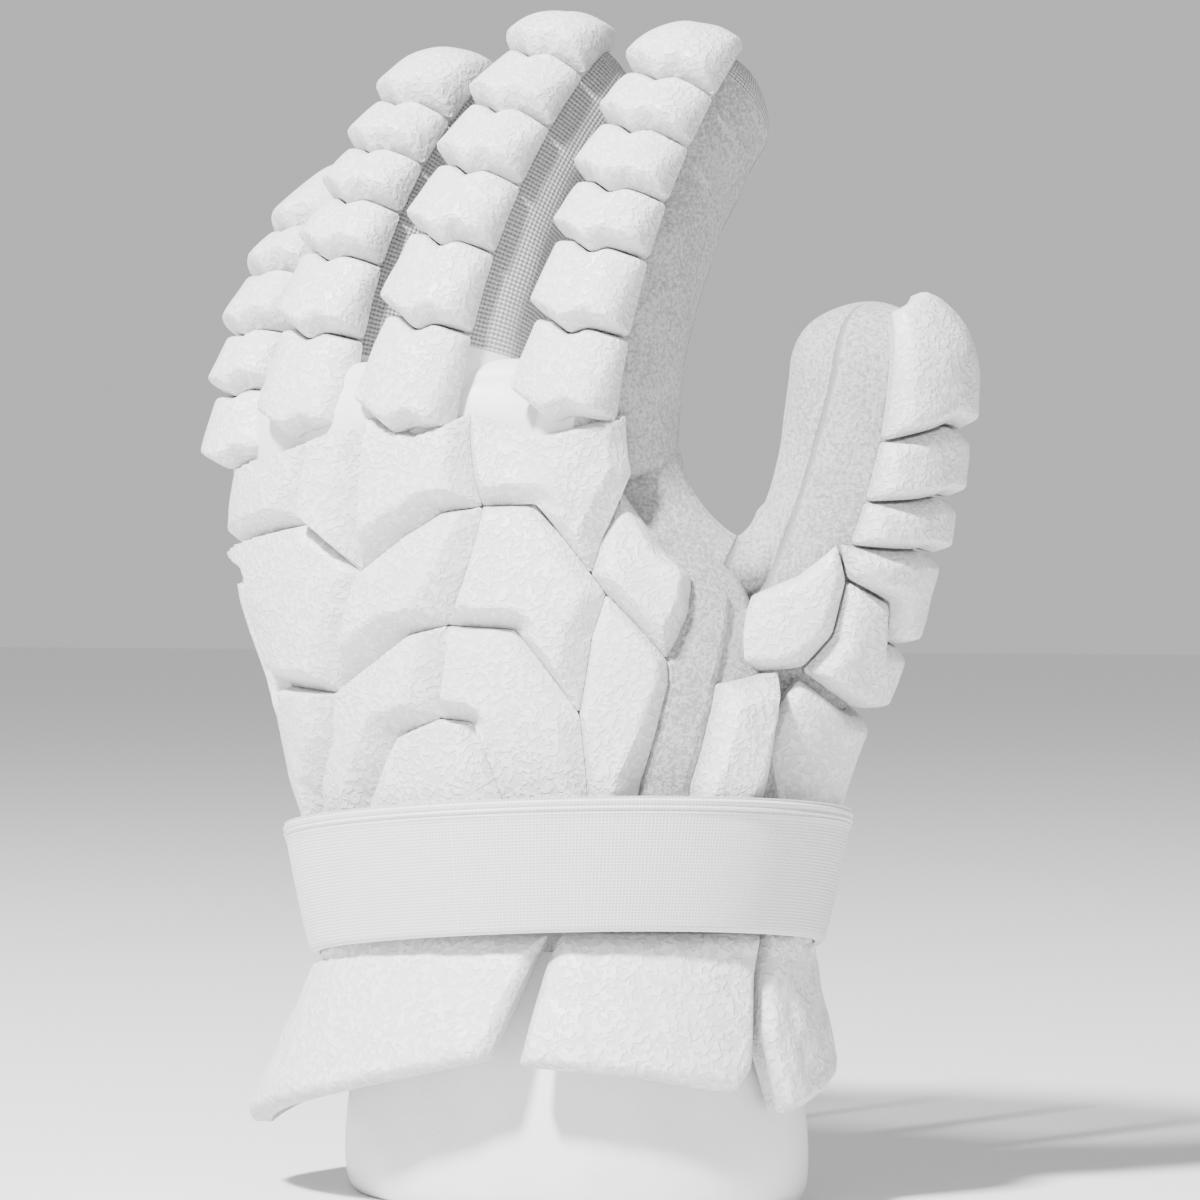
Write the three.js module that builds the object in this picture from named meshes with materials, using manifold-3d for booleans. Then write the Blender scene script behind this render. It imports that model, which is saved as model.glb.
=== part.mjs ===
// A left-hand lacrosse glove, standing on the rim of its cuff with the fingers up.
// Millimetres. +Z runs from the cuff to the fingertips, +X towards the thumb side, and -Y out of the back of
// the hand. The glove is a hollow shell of leather and knit with moulded foam pads laid on it.
import * as THREE from 'three';
import Module from 'manifold-3d';
import { mergeVertices } from 'three/addons/utils/BufferGeometryUtils.js';
import { TessellateModifier } from 'three/addons/modifiers/TessellateModifier.js';

const wasm = await Module();
wasm.setup();

// Driving sizes of the hand and cuff
const CUFF_HEIGHT = 70;
const CUFF_HALF_WIDTH = 68;
const CUFF_HALF_DEPTH = 48;
const HAND_LENGTH = 160;
const HAND_HALF_WIDTH = 66;
const HAND_HALF_DEPTH = 38;
const FINGER_LENGTH = 100;
const FINGER_HALF_WIDTH = 16;
const FINGER_HALF_DEPTH = 21;
const THUMB_LENGTH = 117;
const THUMB_HALF_WIDTH = 19;
const THUMB_HALF_DEPTH = 21.2;

// Driving sizes of the materials and the pads
const SHELL_WALL = 2.6;
const SLEEVE_WALL = 2.2;
const CUFF_WALL = 4;
const SEAT_GAP = 0.3;
const HAND_PAD_THICKNESS = 9.5;
const FINGER_PAD_THICKNESS = 9.5;
const THUMB_PAD_THICKNESS = 10.5;
const CUFF_PAD_THICKNESS = 8.5;
const STRIP_THICKNESS = 1.6;
const PAD_BEVEL = 3.2;
const PAD_GROOVE = 1.6;
const THUMB_BEVEL = 2.4;
const HEM_BEVEL = 2.4;
const HEM_GROOVE = 1;
const STRIP_BEVEL = 0.4;
const STRIP_GROOVE = 0.6;
const PAD_STEP = 24;
const SKIRT_STEP = 27;
const RIBBON_STEP = 60;
const STRAP_HEIGHT = 36;
const STRAP_RISE = 9;
const STRAP_THICKNESS = 2.6;

const STRAP_FLOOR = 68;
const STRAP_PEAK = 40;
const STRAP_ACROSS = -2;
const STRAP_BACK = -2;
const WEB_HALF_WIDTH = 8.5;
const WEB_HALF_DEPTH = 13;
const WEB_TWIST = -30;
const SHELL_LEAN = 0.04;
const SHELL_SPLIT = 0.52;
const BLOCK_HEIGHT = 26;

const RING_SIDES = 24;
const WEB_SIDES = 12;
const WEB_ROWS = 8;
const DIGIT_SIDES = 10;
const SPLIT_PASSES = 14;
const QUARTER_TURN = Math.PI / 2;
const { degToRad: degrees, lerp } = THREE.MathUtils;

// Reads a table of rows with a position in its first column as one smooth curve through them.
function curveThrough(rows) {
  const width = rows[0].length - 1;
  const curve = new THREE.CubicInterpolant(
    rows.map((row) => row[0]),
    rows.flatMap((row) => row.slice(1)),
    width,
    new Float64Array(width)
  );
  return (position) => Array.from(curve.evaluate(position));
}

// The hand's cross-sections from the wrist seam up to the crotch of the fingers.
// Rise is a share of HAND_LENGTH, across and half width of HAND_HALF_WIDTH, the rest of HAND_HALF_DEPTH.
// Arch is how far the sides curl towards the palm.
const HAND_SECTIONS = [
  // rise, across, back, half width, half depth, arch
  [0.0, -0.01, 0.0, 0.89, 1.0, 0.0],
  [0.22, -0.05, -0.05, 1.08, 1.08, 0.0],
  [0.44, -0.16, -0.21, 1.12, 0.97, 0.06],
  [0.61, -0.31, -0.32, 1.15, 0.84, 0.14],
  [0.7, -0.39, -0.39, 1.1, 0.74, 0.22],
  [0.81, -0.49, -0.47, 1.02, 0.63, 0.3],
  [0.92, -0.53, -0.5, 1.0, 0.55, 0.32],
  [1.0, -0.52, -0.46, 0.95, 0.42, 0.34],
];
const handSection = curveThrough(HAND_SECTIONS);

// A point on the hand: turn is 0 in the middle of the back and grows towards the thumb, height is in
// millimetres above the floor, and offset is how far the point lies outside the shell.
function handPoint(turn, height, offset) {
  const rise = THREE.MathUtils.clamp((height - CUFF_HEIGHT) / HAND_LENGTH, 0, 1);
  const [across, back, halfWidth, halfDepth, arch] = handSection(rise);
  const side = Math.sin(turn);
  return new THREE.Vector3(
    across * HAND_HALF_WIDTH + (halfWidth * HAND_HALF_WIDTH + offset) * side,
    (back + arch * side * side) * HAND_HALF_DEPTH - (halfDepth * HAND_HALF_DEPTH + offset) * Math.cos(turn),
    height
  );
}

// A digit widens towards its base by this share of its girth, over this share of its length.
const THUMB_FLARE = { share: 0.45, reach: 0.3 };
const KNUCKLE_FLARE = { share: 0.12, reach: 0.4 };

// The digits. Base is where the centre line starts: across and back are shares of HAND_HALF_WIDTH and
// HAND_HALF_DEPTH, rise of HAND_LENGTH. Length and girth are shares of the finger's, or for the thumb of
// its own sizes. Turn is the way that the back of the digit faces, fan its lean to the side, and it bends
// towards the palm from one angle at its base to another at its tip, all in degrees.
const DIGIT_TABLE = [
  // name, across, back, rise, length, girth, turn, fan, bend at the base, bend at the tip
  ['index', 0.29, -0.42, 0.84, 1.02, 1.0, -8, 6, 0, 37],
  ['middle', -0.4, -0.53, 0.84, 1.1, 1.0, -10, 6, 0, 43],
  ['ring', -0.95, -0.34, 0.84, 1.03, 0.97, -14, 1.5, 0, 45],
  ['little', -1.4, 0.05, 0.81, 0.8, 0.86, -22, -8, 0, 55],
  ['thumb', 0.57, 0.29, 0.31, 1.0, 1.0, 105, 0, -40, -4],
];
const DIGITS = Object.fromEntries(
  DIGIT_TABLE.map(([name, across, back, rise, length, girth, turn, fan, ...bend]) => [
    name,
    { across, back, rise, length, girth, turn, fan, bend },
  ])
);
for (const [name, digit] of Object.entries(DIGITS)) {
  const isThumb = name === 'thumb';
  digit.arcLength = digit.length * (isThumb ? THUMB_LENGTH : FINGER_LENGTH);
  digit.halfWidth = digit.girth * (isThumb ? THUMB_HALF_WIDTH : FINGER_HALF_WIDTH);
  digit.halfDepth = digit.girth * (isThumb ? THUMB_HALF_DEPTH : FINGER_HALF_DEPTH);
  digit.flare = isThumb ? THUMB_FLARE : KNUCKLE_FLARE;
  digit.base = new THREE.Vector3(
    digit.across * HAND_HALF_WIDTH,
    digit.back * HAND_HALF_DEPTH,
    CUFF_HEIGHT + digit.rise * HAND_LENGTH
  );
  const yaw = degrees(digit.turn);
  const fan = degrees(digit.fan);
  digit.up = new THREE.Vector3(Math.sin(fan), 0, Math.cos(fan));
  digit.palmward = new THREE.Vector3(-Math.sin(yaw), Math.cos(yaw), 0);
  digit.palmward.addScaledVector(digit.up, -digit.palmward.dot(digit.up)).normalize();
  digit.side = new THREE.Vector3().crossVectors(digit.palmward, digit.up);
}

// The centre line is an arc of a circle, so its place and direction follow from the angle turned so far.
function digitFrame(digit, along) {
  const [first, last] = digit.bend.map(degrees);
  const radius = digit.arcLength / (last - first);
  const angle = first + along / radius;
  const [rise, lean] = [Math.cos(angle), Math.sin(angle)];
  const tangent = digit.up.clone().multiplyScalar(rise).addScaledVector(digit.palmward, lean);
  const back = digit.up.clone().multiplyScalar(lean).addScaledVector(digit.palmward, -rise);
  const centre = digit.base
    .clone()
    .addScaledVector(digit.up, radius * (Math.sin(angle) - Math.sin(first)))
    .addScaledVector(digit.palmward, radius * (Math.cos(first) - Math.cos(angle)));
  return { centre, tangent, back };
}

// A point on a digit: turn is 0 in the middle of its back, along is the distance from its base. Past the
// end of the centre line the surface closes in a dome.
function digitPoint(digit, turn, along, offset) {
  const past = Math.max(0, along - digit.arcLength);
  const lift = Math.min(past / digit.halfWidth, QUARTER_TURN);
  const frame = digitFrame(digit, Math.min(along, digit.arcLength));
  const { share, reach } = digit.flare;
  const flare = 1 + share * Math.max(0, 1 - along / (reach * digit.arcLength)) ** 2;
  const across = (digit.halfWidth * flare + offset) * Math.cos(lift);
  const deep = (digit.halfDepth * flare + offset) * Math.cos(lift);
  return frame.centre
    .addScaledVector(digit.side, across * Math.sin(turn))
    .addScaledVector(frame.back, deep * Math.cos(turn))
    .addScaledVector(frame.tangent, (digit.halfWidth + offset) * Math.sin(lift));
}

function solidFrom(geometry) {
  const bare = new THREE.BufferGeometry();
  bare.setAttribute('position', geometry.getAttribute('position'));
  bare.setIndex(geometry.index);
  const merged = mergeVertices(bare, 1e-3);
  return new wasm.Manifold(
    new wasm.Mesh({
      numProp: 3,
      vertProperties: merged.getAttribute('position').array,
      triVerts: new Uint32Array(merged.index.array),
    })
  );
}

// A closed body through rings of points, each ring counter-clockwise seen from the last one.
function loft(rings) {
  const sides = rings[0].length;
  const ends = [rings[0], rings[rings.length - 1]].map((ring) =>
    ring.reduce((sum, point) => sum.add(point), new THREE.Vector3()).divideScalar(sides)
  );
  const positions = [...rings.flat(), ...ends].flatMap((point) => point.toArray());
  const index = [];
  const first = rings.length * sides;
  for (let side = 0; side < sides; side++) {
    const next = (side + 1) % sides;
    for (let row = 0; row < rings.length - 1; row++) {
      const [a, b] = [row * sides + side, row * sides + next];
      const [c, d] = [a + sides, b + sides];
      index.push(a, b, d, a, d, c);
    }
    const top = (rings.length - 1) * sides;
    index.push(first, next, side, first + 1, top + side, top + next);
  }
  const geometry = new THREE.BufferGeometry();
  geometry.setAttribute('position', new THREE.Float32BufferAttribute(positions, 3));
  geometry.setIndex(index);
  return solidFrom(geometry);
}

function ringOf(sides, pointAt) {
  return Array.from({ length: sides }, (_, side) => pointAt((side / sides) * 4 * QUARTER_TURN));
}

// The hand's solid, from the wrist seam to the crotch of the fingers, moved outwards by an offset.
const HAND_ROWS = [0, 0.2, 0.4, 0.57, 0.72, 0.87, 1.0];

function handSolid(offset) {
  const last = HAND_ROWS.length - 1;
  const rings = HAND_ROWS.map((rise, row) => {
    const height = CUFF_HEIGHT + rise * HAND_LENGTH;
    const shift = row === last ? offset : row === 0 ? Math.min(offset, -offset) : 0;
    return ringOf(RING_SIDES, (turn) => {
      const point = handPoint(turn, height, offset);
      point.z += shift;
      return point;
    });
  });
  return loft(rings);
}

// A digit from one of its rows to its tip, moved outwards by an offset. Rows are shares of its length.
const DIGIT_ROWS = [-0.12, 0, 0.16, 0.37, 0.58, 0.79, 1];
const DOME_ROWS = [0.4, 0.8];
const ROOT_ROW = 0;
const BASE_ROW = 1;
const SLEEVE_ROW = 2;

function digitSolid(digit, offset, firstRow) {
  const dome = DOME_ROWS.map((share) => digit.arcLength + share * QUARTER_TURN * digit.halfWidth);
  const rows = [...DIGIT_ROWS.slice(firstRow).map((share) => share * digit.arcLength), ...dome];
  return loft(rows.map((along) => ringOf(DIGIT_SIDES, (turn) => digitPoint(digit, turn, along, offset))));
}

// Moves every side of a closed outline inwards by a distance, with a limit on how far a sharp corner goes.
const CORNER_LIMIT = 2.2;

function inset(outline, distance) {
  return outline.map((corner, i) => {
    const before = outline[(i + outline.length - 1) % outline.length];
    const after = outline[(i + 1) % outline.length];
    const into = corner.clone().sub(before).normalize();
    const out = after.clone().sub(corner).normalize();
    const mean = new THREE.Vector2(-into.y - out.y, into.x + out.x);
    const reach = distance * Math.min(2 / mean.length(), CORNER_LIMIT);
    return corner.clone().addScaledVector(mean.normalize(), reach);
  });
}

// The triangles that fill an outline. A ribbon's outline runs along its lower edge and back along its upper
// one, through as many corners, and is filled by quads across it.
function fill(outline, ribbon) {
  if (!ribbon) {
    return THREE.ShapeUtils.triangulateShape(outline, []);
  }
  const last = outline.length - 1;
  return Array.from({ length: outline.length / 2 - 1 }, (_, i) => [
    [i, i + 1, last - i - 1],
    [i, last - i - 1, last - i],
  ]).flat();
}

// A slab between outlines given at rising heights, as [outline, height] pairs with matching corners, in
// flat space. Edges longer than a step are split, and every point is laid onto a curved surface by place().
function slab(levels, step, place, ribbon = false) {
  const sides = levels[0][0].length;
  const positions = levels.flatMap(([outline, height]) => outline.flatMap(({ x, y }) => [x, y, height]));
  const index = [];
  for (let row = 0; row < levels.length - 1; row++) {
    for (let side = 0; side < sides; side++) {
      const [a, b] = [row * sides + side, row * sides + ((side + 1) % sides)];
      index.push(a, b, b + sides, a, b + sides, a + sides);
    }
  }
  const top = (levels.length - 1) * sides;
  for (const [a, b, c] of fill(levels[0][0], ribbon)) {
    index.push(a, c, b, top + a, top + b, top + c);
  }
  const flat = new THREE.BufferGeometry();
  flat.setAttribute('position', new THREE.Float32BufferAttribute(positions, 3));
  flat.setIndex(index);
  const fine = new TessellateModifier(step, SPLIT_PASSES).modify(flat);
  const vertices = fine.getAttribute('position');
  for (let i = 0; i < vertices.count; i++) {
    vertices.setXYZ(i, ...place(vertices.getX(i), vertices.getY(i), vertices.getZ(i)).toArray());
  }
  return solidFrom(fine);
}

// The surfaces that pads are laid on. Corners are given as a turn in degrees and a share along the surface.
// Spread is the length in millimetres of one radian of turn, and reach that of the whole share.
function surface(spread, reach, point) {
  return {
    flatten: (corners) =>
      corners.map(([turn, share]) => new THREE.Vector2(degrees(turn) * spread, share * reach)),
    place: (x, y, offset) => point(x / spread, y / reach, offset),
  };
}

const handSurface = surface(HAND_HALF_WIDTH * 0.95, HAND_LENGTH, (turn, share, offset) =>
  handPoint(turn, CUFF_HEIGHT + share * HAND_LENGTH, offset)
);

function digitSurface(digit) {
  return surface(digit.halfWidth * 1.35, digit.arcLength, (turn, share, offset) =>
    digitPoint(digit, turn, share * digit.arcLength, offset)
  );
}

// The flared skirt of the cuff, from under the strap down towards the rim.
const SKIRT_SECTIONS = [
  // drop, across, back, half width, half depth
  [0.0, 0.0, 0.0, 0.92, 0.85],
  [0.14, -0.03, -0.02, 0.945, 0.92],
  [0.5, -0.06, -0.05, 1.04, 1.12],
  [1.0, -0.13, -0.08, 1.18, 1.31],
];
const SKIRT_TOP = 76;
const SKIRT_LENGTH = 60;
const skirtSection = curveThrough(SKIRT_SECTIONS);
const skirtSurface = surface(CUFF_HALF_WIDTH, SKIRT_LENGTH, (turn, share, offset) => {
  const [across, back, halfWidth, halfDepth] = skirtSection(1 - share);
  return new THREE.Vector3(
    across * CUFF_HALF_WIDTH + (halfWidth * CUFF_HALF_WIDTH + offset) * Math.sin(turn),
    back * CUFF_HALF_DEPTH - (halfDepth * CUFF_HALF_DEPTH + offset) * Math.cos(turn),
    SKIRT_TOP - (1 - share) * SKIRT_LENGTH
  );
});

// A foam pad on a surface: upright walls, then a bevel up to its crown. It starts a little below its seat,
// and is cut to the shape of what it sits on.
const SEAT_DEPTH = 1.5;
const BEVEL_RISE = 0.75;

function padOn(sheet, corners, thickness, options = {}) {
  const { bevel = PAD_BEVEL, groove = PAD_GROOVE, step = PAD_STEP, ribbon = false } = options;
  const outline = sheet.flatten(corners);
  const wall = inset(outline, groove / 2);
  const crown = inset(outline, groove / 2 + bevel);
  const levels = [
    [wall, -SEAT_DEPTH],
    [wall, thickness - bevel * BEVEL_RISE],
    [crown, thickness],
  ];
  return slab(levels, step, sheet.place, ribbon);
}

// The strap round the wrist is a slanting band, wider at its head. Turn is in radians, share runs up it.
const STRAP_FOOT = { halfWidth: 1.11, halfDepth: 1.15 };
const STRAP_HEAD = { halfWidth: 1.235, halfDepth: 1.25 };

function strapSolid(inner, outer, overrun) {
  const ring = (share, offset) =>
    ringOf(RING_SIDES, (turn) => {
      const halfWidth = CUFF_HALF_WIDTH * lerp(STRAP_FOOT.halfWidth, STRAP_HEAD.halfWidth, share);
      const halfDepth = CUFF_HALF_DEPTH * lerp(STRAP_FOOT.halfDepth, STRAP_HEAD.halfDepth, share);
      return new THREE.Vector3(
        STRAP_ACROSS + (halfWidth + offset) * Math.sin(turn),
        STRAP_BACK - (halfDepth + offset) * Math.cos(turn),
        STRAP_FLOOR + STRAP_RISE * Math.cos(turn - degrees(STRAP_PEAK)) + share * STRAP_HEIGHT
      );
    });
  const filled = loft([ring(-overrun, outer), ring(1 + overrun, outer)]);
  return filled.subtract(loft([ring(-0.1 - overrun, inner), ring(1.1 + overrun, inner)]));
}

const root = new THREE.Group();

function addNode(name, solid, finish) {
  const mesh = solid.getMesh();
  const geometry = new THREE.BufferGeometry();
  geometry.setAttribute('position', new THREE.Float32BufferAttribute(mesh.vertProperties, 3));
  geometry.setIndex(new THREE.BufferAttribute(mesh.triVerts, 1));
  const node = new THREE.Mesh(geometry, new THREE.MeshStandardMaterial({ name, metalness: 0, ...finish }));
  node.name = name;
  root.add(node);
}

// The finishes, by colour and roughness
const foam = { color: 0xf2f2f2, roughness: 0.55 };
const suede = { color: 0xd2d3d3, roughness: 0.95 };
const knit = { color: 0xcbcccc, roughness: 0.9 };
const leather = { color: 0xf4f4f4, roughness: 0.5 };
const webbing = { color: 0xf0f0f0, roughness: 0.7 };

// Pads on the back of the hand, by their corners: turn in degrees towards the thumb, and rise as a share of
// HAND_LENGTH. Neighbours share their corners, and the groove between them is taken from both.
const SEAMS = {
  knuckleFar: [-92, 0.8],
  knuckleLittle: [-31, 0.85],
  knuckleRing: [-21, 0.865],
  knuckleRingEnd: [-4, 0.9],
  notchMiddle: [8.5, 0.87],
  knuckleMiddleEnd: [22, 0.905],
  notchIndex: [39, 0.865],
  knuckleIndexEnd: [56.5, 0.9],
  webTop: [56.5, 0.8],
  firstFar: [-98, 0.66],
  firstRing: [-28, 0.72],
  firstValley: [-13.8, 0.635],
  firstBend: [0, 0.7],
  firstRise: [10, 0.737],
  firstCross: [20, 0.747],
  firstShoulder: [32.5, 0.75],
  firstTip: [38.5, 0.632],
  slitTop: [46, 0.705],
  edgeFar: [-112, 0.64],
  edgeHem: [-112, 0.1],
  secondFar: [-56, 0.62],
  secondEdge: [-60, 0.44],
  secondTip: [-31, 0.43],
  secondBend: [-15.5, 0.49],
  secondRise: [-6, 0.532],
  secondCross: [3.5, 0.547],
  secondShoulder: [18, 0.54],
  thirdTip: [27.5, 0.4],
  secondSlit: [34.5, 0.53],
  webCross: [40.4, 0.6],
  webLow: [51, 0.49],
  webSide: [60.5, 0.57],
  webCorner: [65, 0.63],
  webBand: [59, 0.68],
  thirdEdge: [-35.5, 0.345],
  thirdLow: [-48, 0.24],
  thirdHem: [-54, 0.1],
  centreTop: [-4.5, 0.39],
  centreLeft: [-15.5, 0.36],
  centreSide: [-26.5, 0.25],
  centreHemLeft: [-34, 0.1],
  centreRight: [3, 0.385],
  centreHemRight: [11, 0.1],
  thumbHem: [24, 0.1],
  stripSide: [50, 0.45],
  stripLow: [38.5, 0.287],
  stripHem: [31, 0.1],
  stripFarTop: [79, 0.6],
  stripFarSide: [64.5, 0.45],
  stripFarLow: [51.5, 0.287],
  stripFarHem: [44, 0.1],
  baseTop: [90, 0.47],
  baseSide: [80, 0.36],
  baseLow: [70, 0.24],
  baseHem: [66, 0.1],
};
const BACK_PADS = {
  little_1: ['knuckleFar', 'firstFar', 'firstRing', 'knuckleRing', 'knuckleLittle'],
  ring_1: ['knuckleRing', 'firstRing', 'firstValley', 'knuckleRingEnd'],
  middle_1: [
    'knuckleRingEnd', 'firstValley', 'firstBend', 'firstRise', 'firstCross', 'knuckleMiddleEnd',
    'notchMiddle',
  ],
  index_1: [
    'knuckleMiddleEnd', 'firstCross', 'firstShoulder', 'firstTip', 'slitTop', 'webTop',
    'knuckleIndexEnd', 'notchIndex',
  ],
  ring_2: ['firstFar', 'secondFar', 'secondEdge', 'secondTip', 'firstValley', 'firstRing'],
  middle_2: [
    'firstValley', 'secondTip', 'secondBend', 'secondRise', 'secondCross', 'firstCross', 'firstRise',
    'firstBend',
  ],
  index_2: [
    'firstCross', 'secondCross', 'secondShoulder', 'thirdTip', 'secondSlit', 'webCross', 'firstTip',
    'firstShoulder',
  ],
  middle_3: [
    'secondTip', 'thirdEdge', 'thirdLow', 'thirdHem', 'centreHemLeft', 'centreSide', 'centreLeft',
    'centreTop', 'secondCross', 'secondRise', 'secondBend',
  ],
  index_3: [
    'secondCross', 'centreTop', 'centreRight', 'centreHemRight', 'thumbHem', 'thirdTip',
    'secondShoulder',
  ],
  centre: ['centreTop', 'centreLeft', 'centreSide', 'centreHemLeft', 'centreHemRight', 'centreRight'],
  thumb_1: ['firstTip', 'webCross', 'webLow', 'webSide', 'webCorner', 'webBand', 'webTop', 'slitTop'],
  edge: ['edgeFar', 'edgeHem', 'thirdHem', 'thirdLow', 'thirdEdge', 'secondTip', 'secondEdge', 'secondFar'],
  thumb_2: ['webCross', 'secondSlit', 'thirdTip', 'thumbHem', 'stripHem', 'stripLow', 'stripSide', 'webLow'],
};
const cornersOf = (names) => names.map((name) => SEAMS[name]);

// What the pads are cut to: the shell that they sit on, and the strap that holds them down.
const handGrown = handSolid(SEAT_GAP);
const indexGrown = digitSolid(DIGITS.index, SEAT_GAP, BASE_ROW);
const strapGrown = strapSolid(-STRAP_THICKNESS - SEAT_GAP, SEAT_GAP, SEAT_GAP / STRAP_HEIGHT);
for (const [name, corners] of Object.entries(BACK_PADS)) {
  let pad = padOn(handSurface, cornersOf(corners), HAND_PAD_THICKNESS).subtract(handGrown);
  if (name === 'edge') {
    pad = pad.subtract(strapGrown);
  }
  if (name === 'index_1') {
    pad = pad.subtract(indexGrown);
  }
  addNode(`back_pad_${name}`, pad, foam);
}

// A block that clears all that lies over an area of a surface, wider than it by a seat's gap
function blockOver(sheet, corners) {
  const outline = inset(sheet.flatten(corners), -SEAT_GAP);
  return slab([[outline, -SEAT_DEPTH], [outline, BLOCK_HEIGHT]], PAD_STEP, sheet.place);
}

// The stitched suede strip between the pads of the back and those of the thumb's base
const STRIP = [
  'webCorner', 'webSide', 'webLow', 'stripSide', 'stripLow', 'stripHem', 'stripFarHem', 'stripFarLow',
  'stripFarSide', 'stripFarTop',
];
const stripEdges = { bevel: STRIP_BEVEL, groove: STRIP_GROOVE };
const strip = padOn(handSurface, cornersOf(STRIP), STRIP_THICKNESS, stripEdges);
addNode('suede_strip', strip.subtract(handGrown), suede);

// The pad over the root of the thumb lies on the hand, the other pads of the thumb on the thumb itself.
const THUMB_ROOT = [
  'stripFarSide', 'stripFarLow', 'stripFarHem', 'baseHem', 'baseLow', 'baseSide', 'baseTop',
];
const thumbRootPad = padOn(handSurface, cornersOf(THUMB_ROOT), THUMB_PAD_THICKNESS);
addNode('thumb_base_pad_root', thumbRootPad.subtract(handGrown).subtract(strapGrown), foam);

// Pads of the thumb: turn in degrees about the thumb, and share of its length.
const THUMB_PADS = {
  base_pad_outer: [[-48, -0.04], [52, 0.03], [56, 0.27], [-22, 0.275], [-58, 0.28]],
  base_pad_inner: [
    [-94, 0.193], [-68, 0.315], [-60, 0.415], [-65, 0.538], [-77, 0.61], [-93, 0.5], [-109, 0.43],
  ],
  pad_1: [
    [-68, 0.315], [-24, 0.29], [56, 0.285], [56, 0.43], [-20, 0.44], [-32, 0.52], [-65, 0.538],
    [-60, 0.415],
  ],
  pad_2: [
    [-65, 0.538], [-32, 0.52], [-20, 0.44], [56, 0.43], [58, 0.625], [-20, 0.64], [-69, 0.61],
    [-77, 0.61],
  ],
  pad_3: [[-69, 0.61], [-20, 0.64], [58, 0.625], [60, 0.745], [-15, 0.755], [-67, 0.71]],
  pad_4: [[-67, 0.71], [-15, 0.755], [60, 0.745], [62, 0.88], [-20, 0.9], [-65, 0.845]],
  pad_5: [[-65, 0.845], [-20, 0.9], [62, 0.88], [64, 1.12], [-20, 1.18], [-64, 1.12]],
};
const thumbSurface = digitSurface(DIGITS.thumb);
const thumbGrown = digitSolid(DIGITS.thumb, SEAT_GAP, ROOT_ROW);
const rootBlock = blockOver(handSurface, cornersOf(THUMB_ROOT));
const stripBlock = blockOver(handSurface, cornersOf(STRIP));
for (const [name, corners] of Object.entries(THUMB_PADS)) {
  const pad = padOn(thumbSurface, corners, THUMB_PAD_THICKNESS, { bevel: THUMB_BEVEL });
  const seated = pad.subtract(thumbGrown).subtract(handGrown).subtract(rootBlock).subtract(stripBlock);
  addNode(`thumb_${name}`, name === 'base_pad_outer' ? seated.subtract(strapGrown) : seated, foam);
}

// Pads of each finger, from the knuckle to the tip: the shares of its length at which the grooves cross it,
// and how far its pads reach to either side.
const FINGER_PADS = {
  index: { rows: [0.05, 0.28, 0.475, 0.625, 0.78, 0.93, 1.14], reach: [-42, 50] },
  middle: { rows: [0.05, 0.275, 0.465, 0.635, 0.795, 0.955, 1.16], reach: [-45, 48] },
  ring: { rows: [0.05, 0.28, 0.47, 0.615, 0.755, 0.9, 1.16], reach: [-44, 50] },
  little: { rows: [0.04, 0.25, 0.435, 0.63, 0.79, 1.14], reach: [-60, 52] },
};
// The grooves dip towards the knuckle just past the middle of the pads.
const CHEVRON = [
  // turn as a share of the reach, and rise as a share of the length
  [-1, 0.03],
  [-0.45, 0.014],
  [0.1, -0.018],
  [0.36, 0.004],
  [1, -0.002],
];
const knuckleBlock = blockOver(handSurface, [
  SEAMS.knuckleFar, [-98, 0.6], [56.5, 0.6], SEAMS.webTop, SEAMS.knuckleIndexEnd, SEAMS.notchIndex,
  SEAMS.knuckleMiddleEnd, SEAMS.notchMiddle, SEAMS.knuckleRingEnd, SEAMS.knuckleRing,
  SEAMS.knuckleLittle,
]);
for (const [finger, { rows, reach }] of Object.entries(FINGER_PADS)) {
  const digit = DIGITS[finger];
  const sheet = digitSurface(digit);
  const grown = digitSolid(digit, SEAT_GAP, BASE_ROW);
  const groove = (row) =>
    CHEVRON.map(([side, dip]) => [side * (side < 0 ? -reach[0] : reach[1]), row + (row > 1 ? 0 : dip)]);
  for (let i = 0; i < rows.length - 1; i++) {
    const corners = [...groove(rows[i]), ...groove(rows[i + 1]).reverse()];
    const whole = padOn(sheet, corners, FINGER_PAD_THICKNESS, { step: RIBBON_STEP, ribbon: true });
    let pad = whole.subtract(grown);
    if (i < 2) {
      pad = pad.subtract(handGrown).subtract(knuckleBlock);
    }
    addNode(`${finger}_pad_${i + 1}`, pad, foam);
  }
}

// The shell of the hand and the sleeves of the digits are hollow, and open into each other.
const hollows = Object.fromEntries(
  Object.entries(DIGITS).map(([name, digit]) => {
    const firstRow = name === 'thumb' ? ROOT_ROW : BASE_ROW;
    return [name, digitSolid(digit, -SLEEVE_WALL, firstRow)];
  })
);
let shell = handSolid(0).subtract(handSolid(-SHELL_WALL));
for (const hollow of Object.values(hollows)) {
  shell = shell.subtract(hollow);
}
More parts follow.
